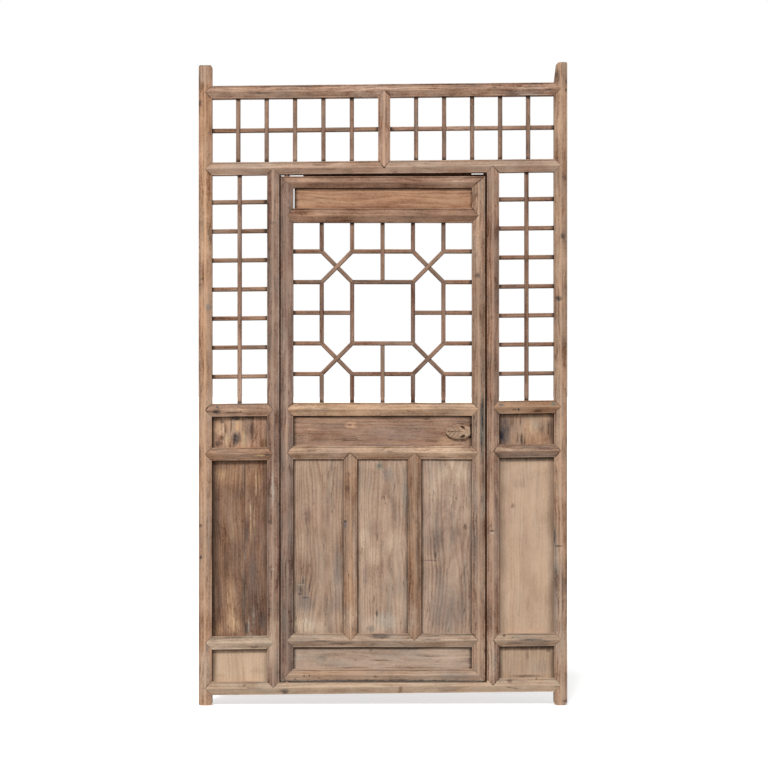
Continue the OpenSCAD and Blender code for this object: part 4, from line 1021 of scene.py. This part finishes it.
FIELD_HALF = 0.0986
FIELD_FIGURE = {"greyness": 0.3, "contrast": 0.7, "figure": 0.35}
FIELD_SHADE = {"rim": 0.9, "far_rim": 0.6, "rim_width": 0.013, "half_length": 0.34, "end": 0.5, "end_width": 0.008}
for node, rgb, seed, marks in (
    ("left_field_panel", (172, 142, 120), 46.0, (
        (-262, 334, 94, 55, (194, 164, 140), 0.7),
        (-262, 939, 86, 31, (198, 166, 140), 0.7),
        (-262, 724, 94, 86, (166, 134, 112), 0.5),
        (-314, 459, 31, 36, (140, 120, 106), 0.75),
        (-312, 487, 4, 18, (96, 84, 76), 0.9),
        (-322, 451, 5, 13, (98, 86, 78), 0.9),
        (-325, 435, 9, 5, (92, 82, 74), 0.9),
        (-305, 420, 18, 4, (108, 96, 90), 0.9),
        (-303, 400, 36, 40, (146, 128, 116), 0.81),
        (-288, 545, 36, 49, (176, 145, 122), 0.6),
        (-180, 514, 22, 102, (138, 120, 109), 0.8),
        (-312, 310, 58, 36, (200, 172, 146), 0.81),
        (-294, 738, 18, 36, (134, 106, 92), 0.8),
        (-318, 471, 18, 4, (206, 182, 152), 0.85),
        (-287, 459, 4, 20, (104, 90, 80), 0.85),
        (-254, 881, 72, 45, (192, 162, 136), 0.47),
        (-184, 404, 31, 47, (142, 121, 108), 0.7),
        (-277, 646, 31, 78, (158, 128, 108), 0.55),
    )),
    ("middle_field_panel", (180, 150, 128), 47.0, (
        (-4, 318, 86, 47, (200, 172, 149), 0.65),
        (-4, 943, 78, 31, (204, 172, 148), 0.7),
        (-12, 936, 20, 22, (136, 126, 110), 0.74),
        (-12, 935, 12, 10, (116, 106, 94), 0.8),
        (-12, 931, 5, 5, (192, 172, 150), 0.8),
        (14, 904, 22, 31, (160, 146, 136), 0.68),
        (86, 810, 12, 81, (146, 132, 118), 0.81),
        (-31, 687, 22, 40, (156, 128, 110), 0.74),
        (-23, 659, 6, 18, (122, 97, 82), 0.85),
        (-68, 502, 13, 49, (146, 122, 110), 0.68),
        (-23, 358, 6, 14, (104, 92, 82), 0.9),
        (4, 330, 49, 40, (176, 158, 140), 0.68),
        (-45, 299, 18, 13, (130, 114, 102), 0.85),
        (-43, 584, 40, 40, (206, 178, 152), 0.68),
        (-74, 646, 23, 51, (208, 180, 154), 0.6),
        (35, 642, 27, 47, (202, 172, 147), 0.55),
        (51, 471, 27, 62, (166, 138, 118), 0.5),
    )),
    ("right_field_panel", (174, 145, 125), 48.0, (
        (246, 775, 94, 94, (186, 155, 132), 0.7),
        (254, 365, 86, 102, (142, 121, 107), 0.8),
        (207, 865, 35, 70, (192, 164, 142), 0.6),
        (276, 908, 67, 58, (206, 178, 152), 0.74),
        (211, 742, 12, 72, (142, 115, 100), 0.75),
        (199, 646, 43, 62, (132, 111, 98), 0.8),
        (282, 662, 22, 36, (138, 115, 101), 0.75),
        (321, 697, 8, 15, (115, 90, 74), 0.94),
        (205, 584, 6, 23, (112, 94, 83), 0.85),
        (184, 566, 35, 3, (116, 98, 87), 0.8),
        (223, 490, 18, 63, (140, 118, 104), 0.68),
        (308, 451, 22, 117, (150, 122, 102), 0.68),
    )),
):
    look = wood(node, rgb, middle(node), UPRIGHT, FIELD_HALF, seed, marks=marks, **FIELD_FIGURE, **FIELD_SHADE)
    weathered(node, "leaf", UPRIGHT, look, arris=0.0, wear=0.0003, step=BOARD_STEP, seed=seed)

# LEAF LATTICE
# Thin bars mitred and half-lapped into a square with four small crosses round it, joined to the leaf's members
# by short arms. They are the same square stock as the frame's lattices.

SLANT = math.radians(45)
for node, rgb, turn, half_length, seed in (
    ("leaf_uprights", (142, 108, 89), UPRIGHT, 0.3515, 50.0),
    ("leaf_crossbars", (150, 113, 90), 0.0, LEAF_HALF, 51.0),
    ("rising_diagonals", (150, 115, 94), SLANT, 9.0, 52.0),
    ("falling_diagonals", (150, 115, 94), -SLANT, 9.0, 53.0),
):
    lattice_bar(node, "leaf", rgb, turn, half_length, seed)

# CARVED PULL
# A leaf carved from one block, its tip towards the hinges, veined and pierced by two eyes.
# A round tenon holds it in the waist panel, hands have rubbed its high parts pale, and dirt fills the veins.

low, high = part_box("carved_pull")
# The face is part of a cylinder of the first radius, and the veins are cut down to the second.
CROWN = 0.055
VEIN_FLOOR = 0.0541
VEIN_DIRT = 0.28
look = wood("carved_pull", (165, 133, 109), middle("carved_pull"), 0.0, 1.0, 54.0, greyness=0.15, cracks=0.9, marks=(
    # The first two marks are painted shade in the eyes.
    (311, 1089, 9, 4, (44, 22, 12), 0.95),
    (311, 1050, 9, 5, (28, 12, 6), 0.95),
    (273, 1086, 14, 8, (140, 118, 108), 0.7),
    (256, 1072, 6, 8, (130, 104, 88), 0.7),
    (326, 1056, 6, 6, (206, 184, 150), 0.8),
    (285, 1048, 12, 5, (196, 160, 132), 0.7),
    (312, 1072, 10, 8, (192, 154, 126), 0.6),
    (334, 1084, 5, 12, (184, 152, 124), 0.6),
))
piece = weathered("carved_pull", "leaf", 0.0, look, arris=0.0, wear=0.0002, step=0.01, seed=54.0)
veins = piece.data.attributes.new("veins", "FLOAT", "FACE")
for face in piece.data.polygons:
    away = math.hypot(face.center.y - low.y - CROWN, face.center.z - (low.z + high.z) / 2)
    veins.data[face.index].value = 1.0 if face.normal.y < -0.3 and away < VEIN_FLOOR else 0.0
tree = look.node_tree
shader = tree.nodes["Principled BSDF"]
dirty = add(tree, "ShaderNodeAttribute", {"attribute_name": "veins"}).outputs["Fac"]
clean = shader.inputs["Base Color"].links[0].from_socket
colour = blend_colour(tree, calc(tree, "MULTIPLY", dirty, VEIN_DIRT), clean, DIRT_AND_SHADE)
tree.links.new(colour, shader.inputs["Base Color"])

# FLOOR
# A plain pale studio floor, wide enough to run out of the picture. It throws back less light than it shows.

FLOOR_REACH = 200
FLOOR_SHOWN = (0.97, 0.97, 0.97, 1)
FLOOR_BOUNCE = (0.3, 0.3, 0.3, 1)
FLOOR_GLOW = (0.35, 0.35, 0.35, 1)
bm = bmesh.new()
bmesh.ops.create_grid(bm, x_segments=1, y_segments=1, size=FLOOR_REACH)
floor_mesh = bpy.data.meshes.new("floor")
bm.to_mesh(floor_mesh)
bm.free()


# 1 for rays that show the ground to the camera, straight or in a reflection, and 0 for rays that only carry light.
def in_view(tree):
    rays = add(tree, "ShaderNodeLightPath").outputs
    mirrored = calc(tree, "MAXIMUM", rays["Is Glossy Ray"], rays["Is Transmission Ray"])
    return calc(tree, "MAXIMUM", rays["Is Camera Ray"], mirrored)


floor_look = bpy.data.materials.new("floor")
floor_look.use_nodes = True
tree = floor_look.node_tree
seen = in_view(tree)
floor_shader = tree.nodes["Principled BSDF"]
tree.links.new(blend_colour(tree, seen, FLOOR_BOUNCE, FLOOR_SHOWN), floor_shader.inputs["Base Color"])
glow = blend_colour(tree, seen, (0, 0, 0, 1), FLOOR_GLOW)
tree.links.new(glow, floor_shader.inputs["Emission Color"])
floor_shader.inputs["Emission Strength"].default_value = 1.0
floor_shader.inputs["Roughness"].default_value = 1.0
floor_shader.inputs["Specular IOR Level"].default_value = 0.0
floor_mesh.materials.append(floor_look)
floor = bpy.data.objects.new("floor", floor_mesh)
scene.collection.objects.link(floor)

# LIGHT
# Soft studio light: an even white surround and one broad lamp high in front, a little to the left.

world = bpy.data.worlds.new("studio")
scene.world = world
world.use_nodes = True
tree = world.node_tree
surround = tree.nodes["Background"]
surround.inputs["Color"].default_value = (1, 1, 1, 1)
SURROUND = 0.6
strength = calc(tree, "MULTIPLY_ADD", in_view(tree), 1.0 - SURROUND, SURROUND)
tree.links.new(strength, surround.inputs["Strength"])

key_light = bpy.data.lights.new("key", "SUN")
KEY_ANGLE = math.radians(14)
KEY_ALONG = Vector((0.25, 1.0, -1.1))
key_light.energy = 2.3
key_light.angle = KEY_ANGLE
key = bpy.data.objects.new("key", key_light)
key.rotation_euler = KEY_ALONG.to_track_quat("-Z", "Y").to_euler()
scene.collection.objects.link(key)

# CAMERA
# Straight on, at mid height, from far enough that the members' sides hardly show.

DISTANCE = 8.5
WIDTH_SEEN = 2.999
SENSOR = 36
# The point that the camera faces, on the face of the frame.
ASIDE = 0.0039
FACE = -0.025
EYE_HEIGHT = 1.2555
camera_data = bpy.data.cameras.new("camera")
camera_data.sensor_width = SENSOR
camera_data.lens = SENSOR * DISTANCE / WIDTH_SEEN
camera = bpy.data.objects.new("camera", camera_data)
camera.location = (ASIDE, FACE - DISTANCE, EYE_HEIGHT)
camera.rotation_euler = (math.radians(90), 0, 0)
scene.collection.objects.link(camera)
scene.camera = camera
scene.view_settings.view_transform = "Standard"
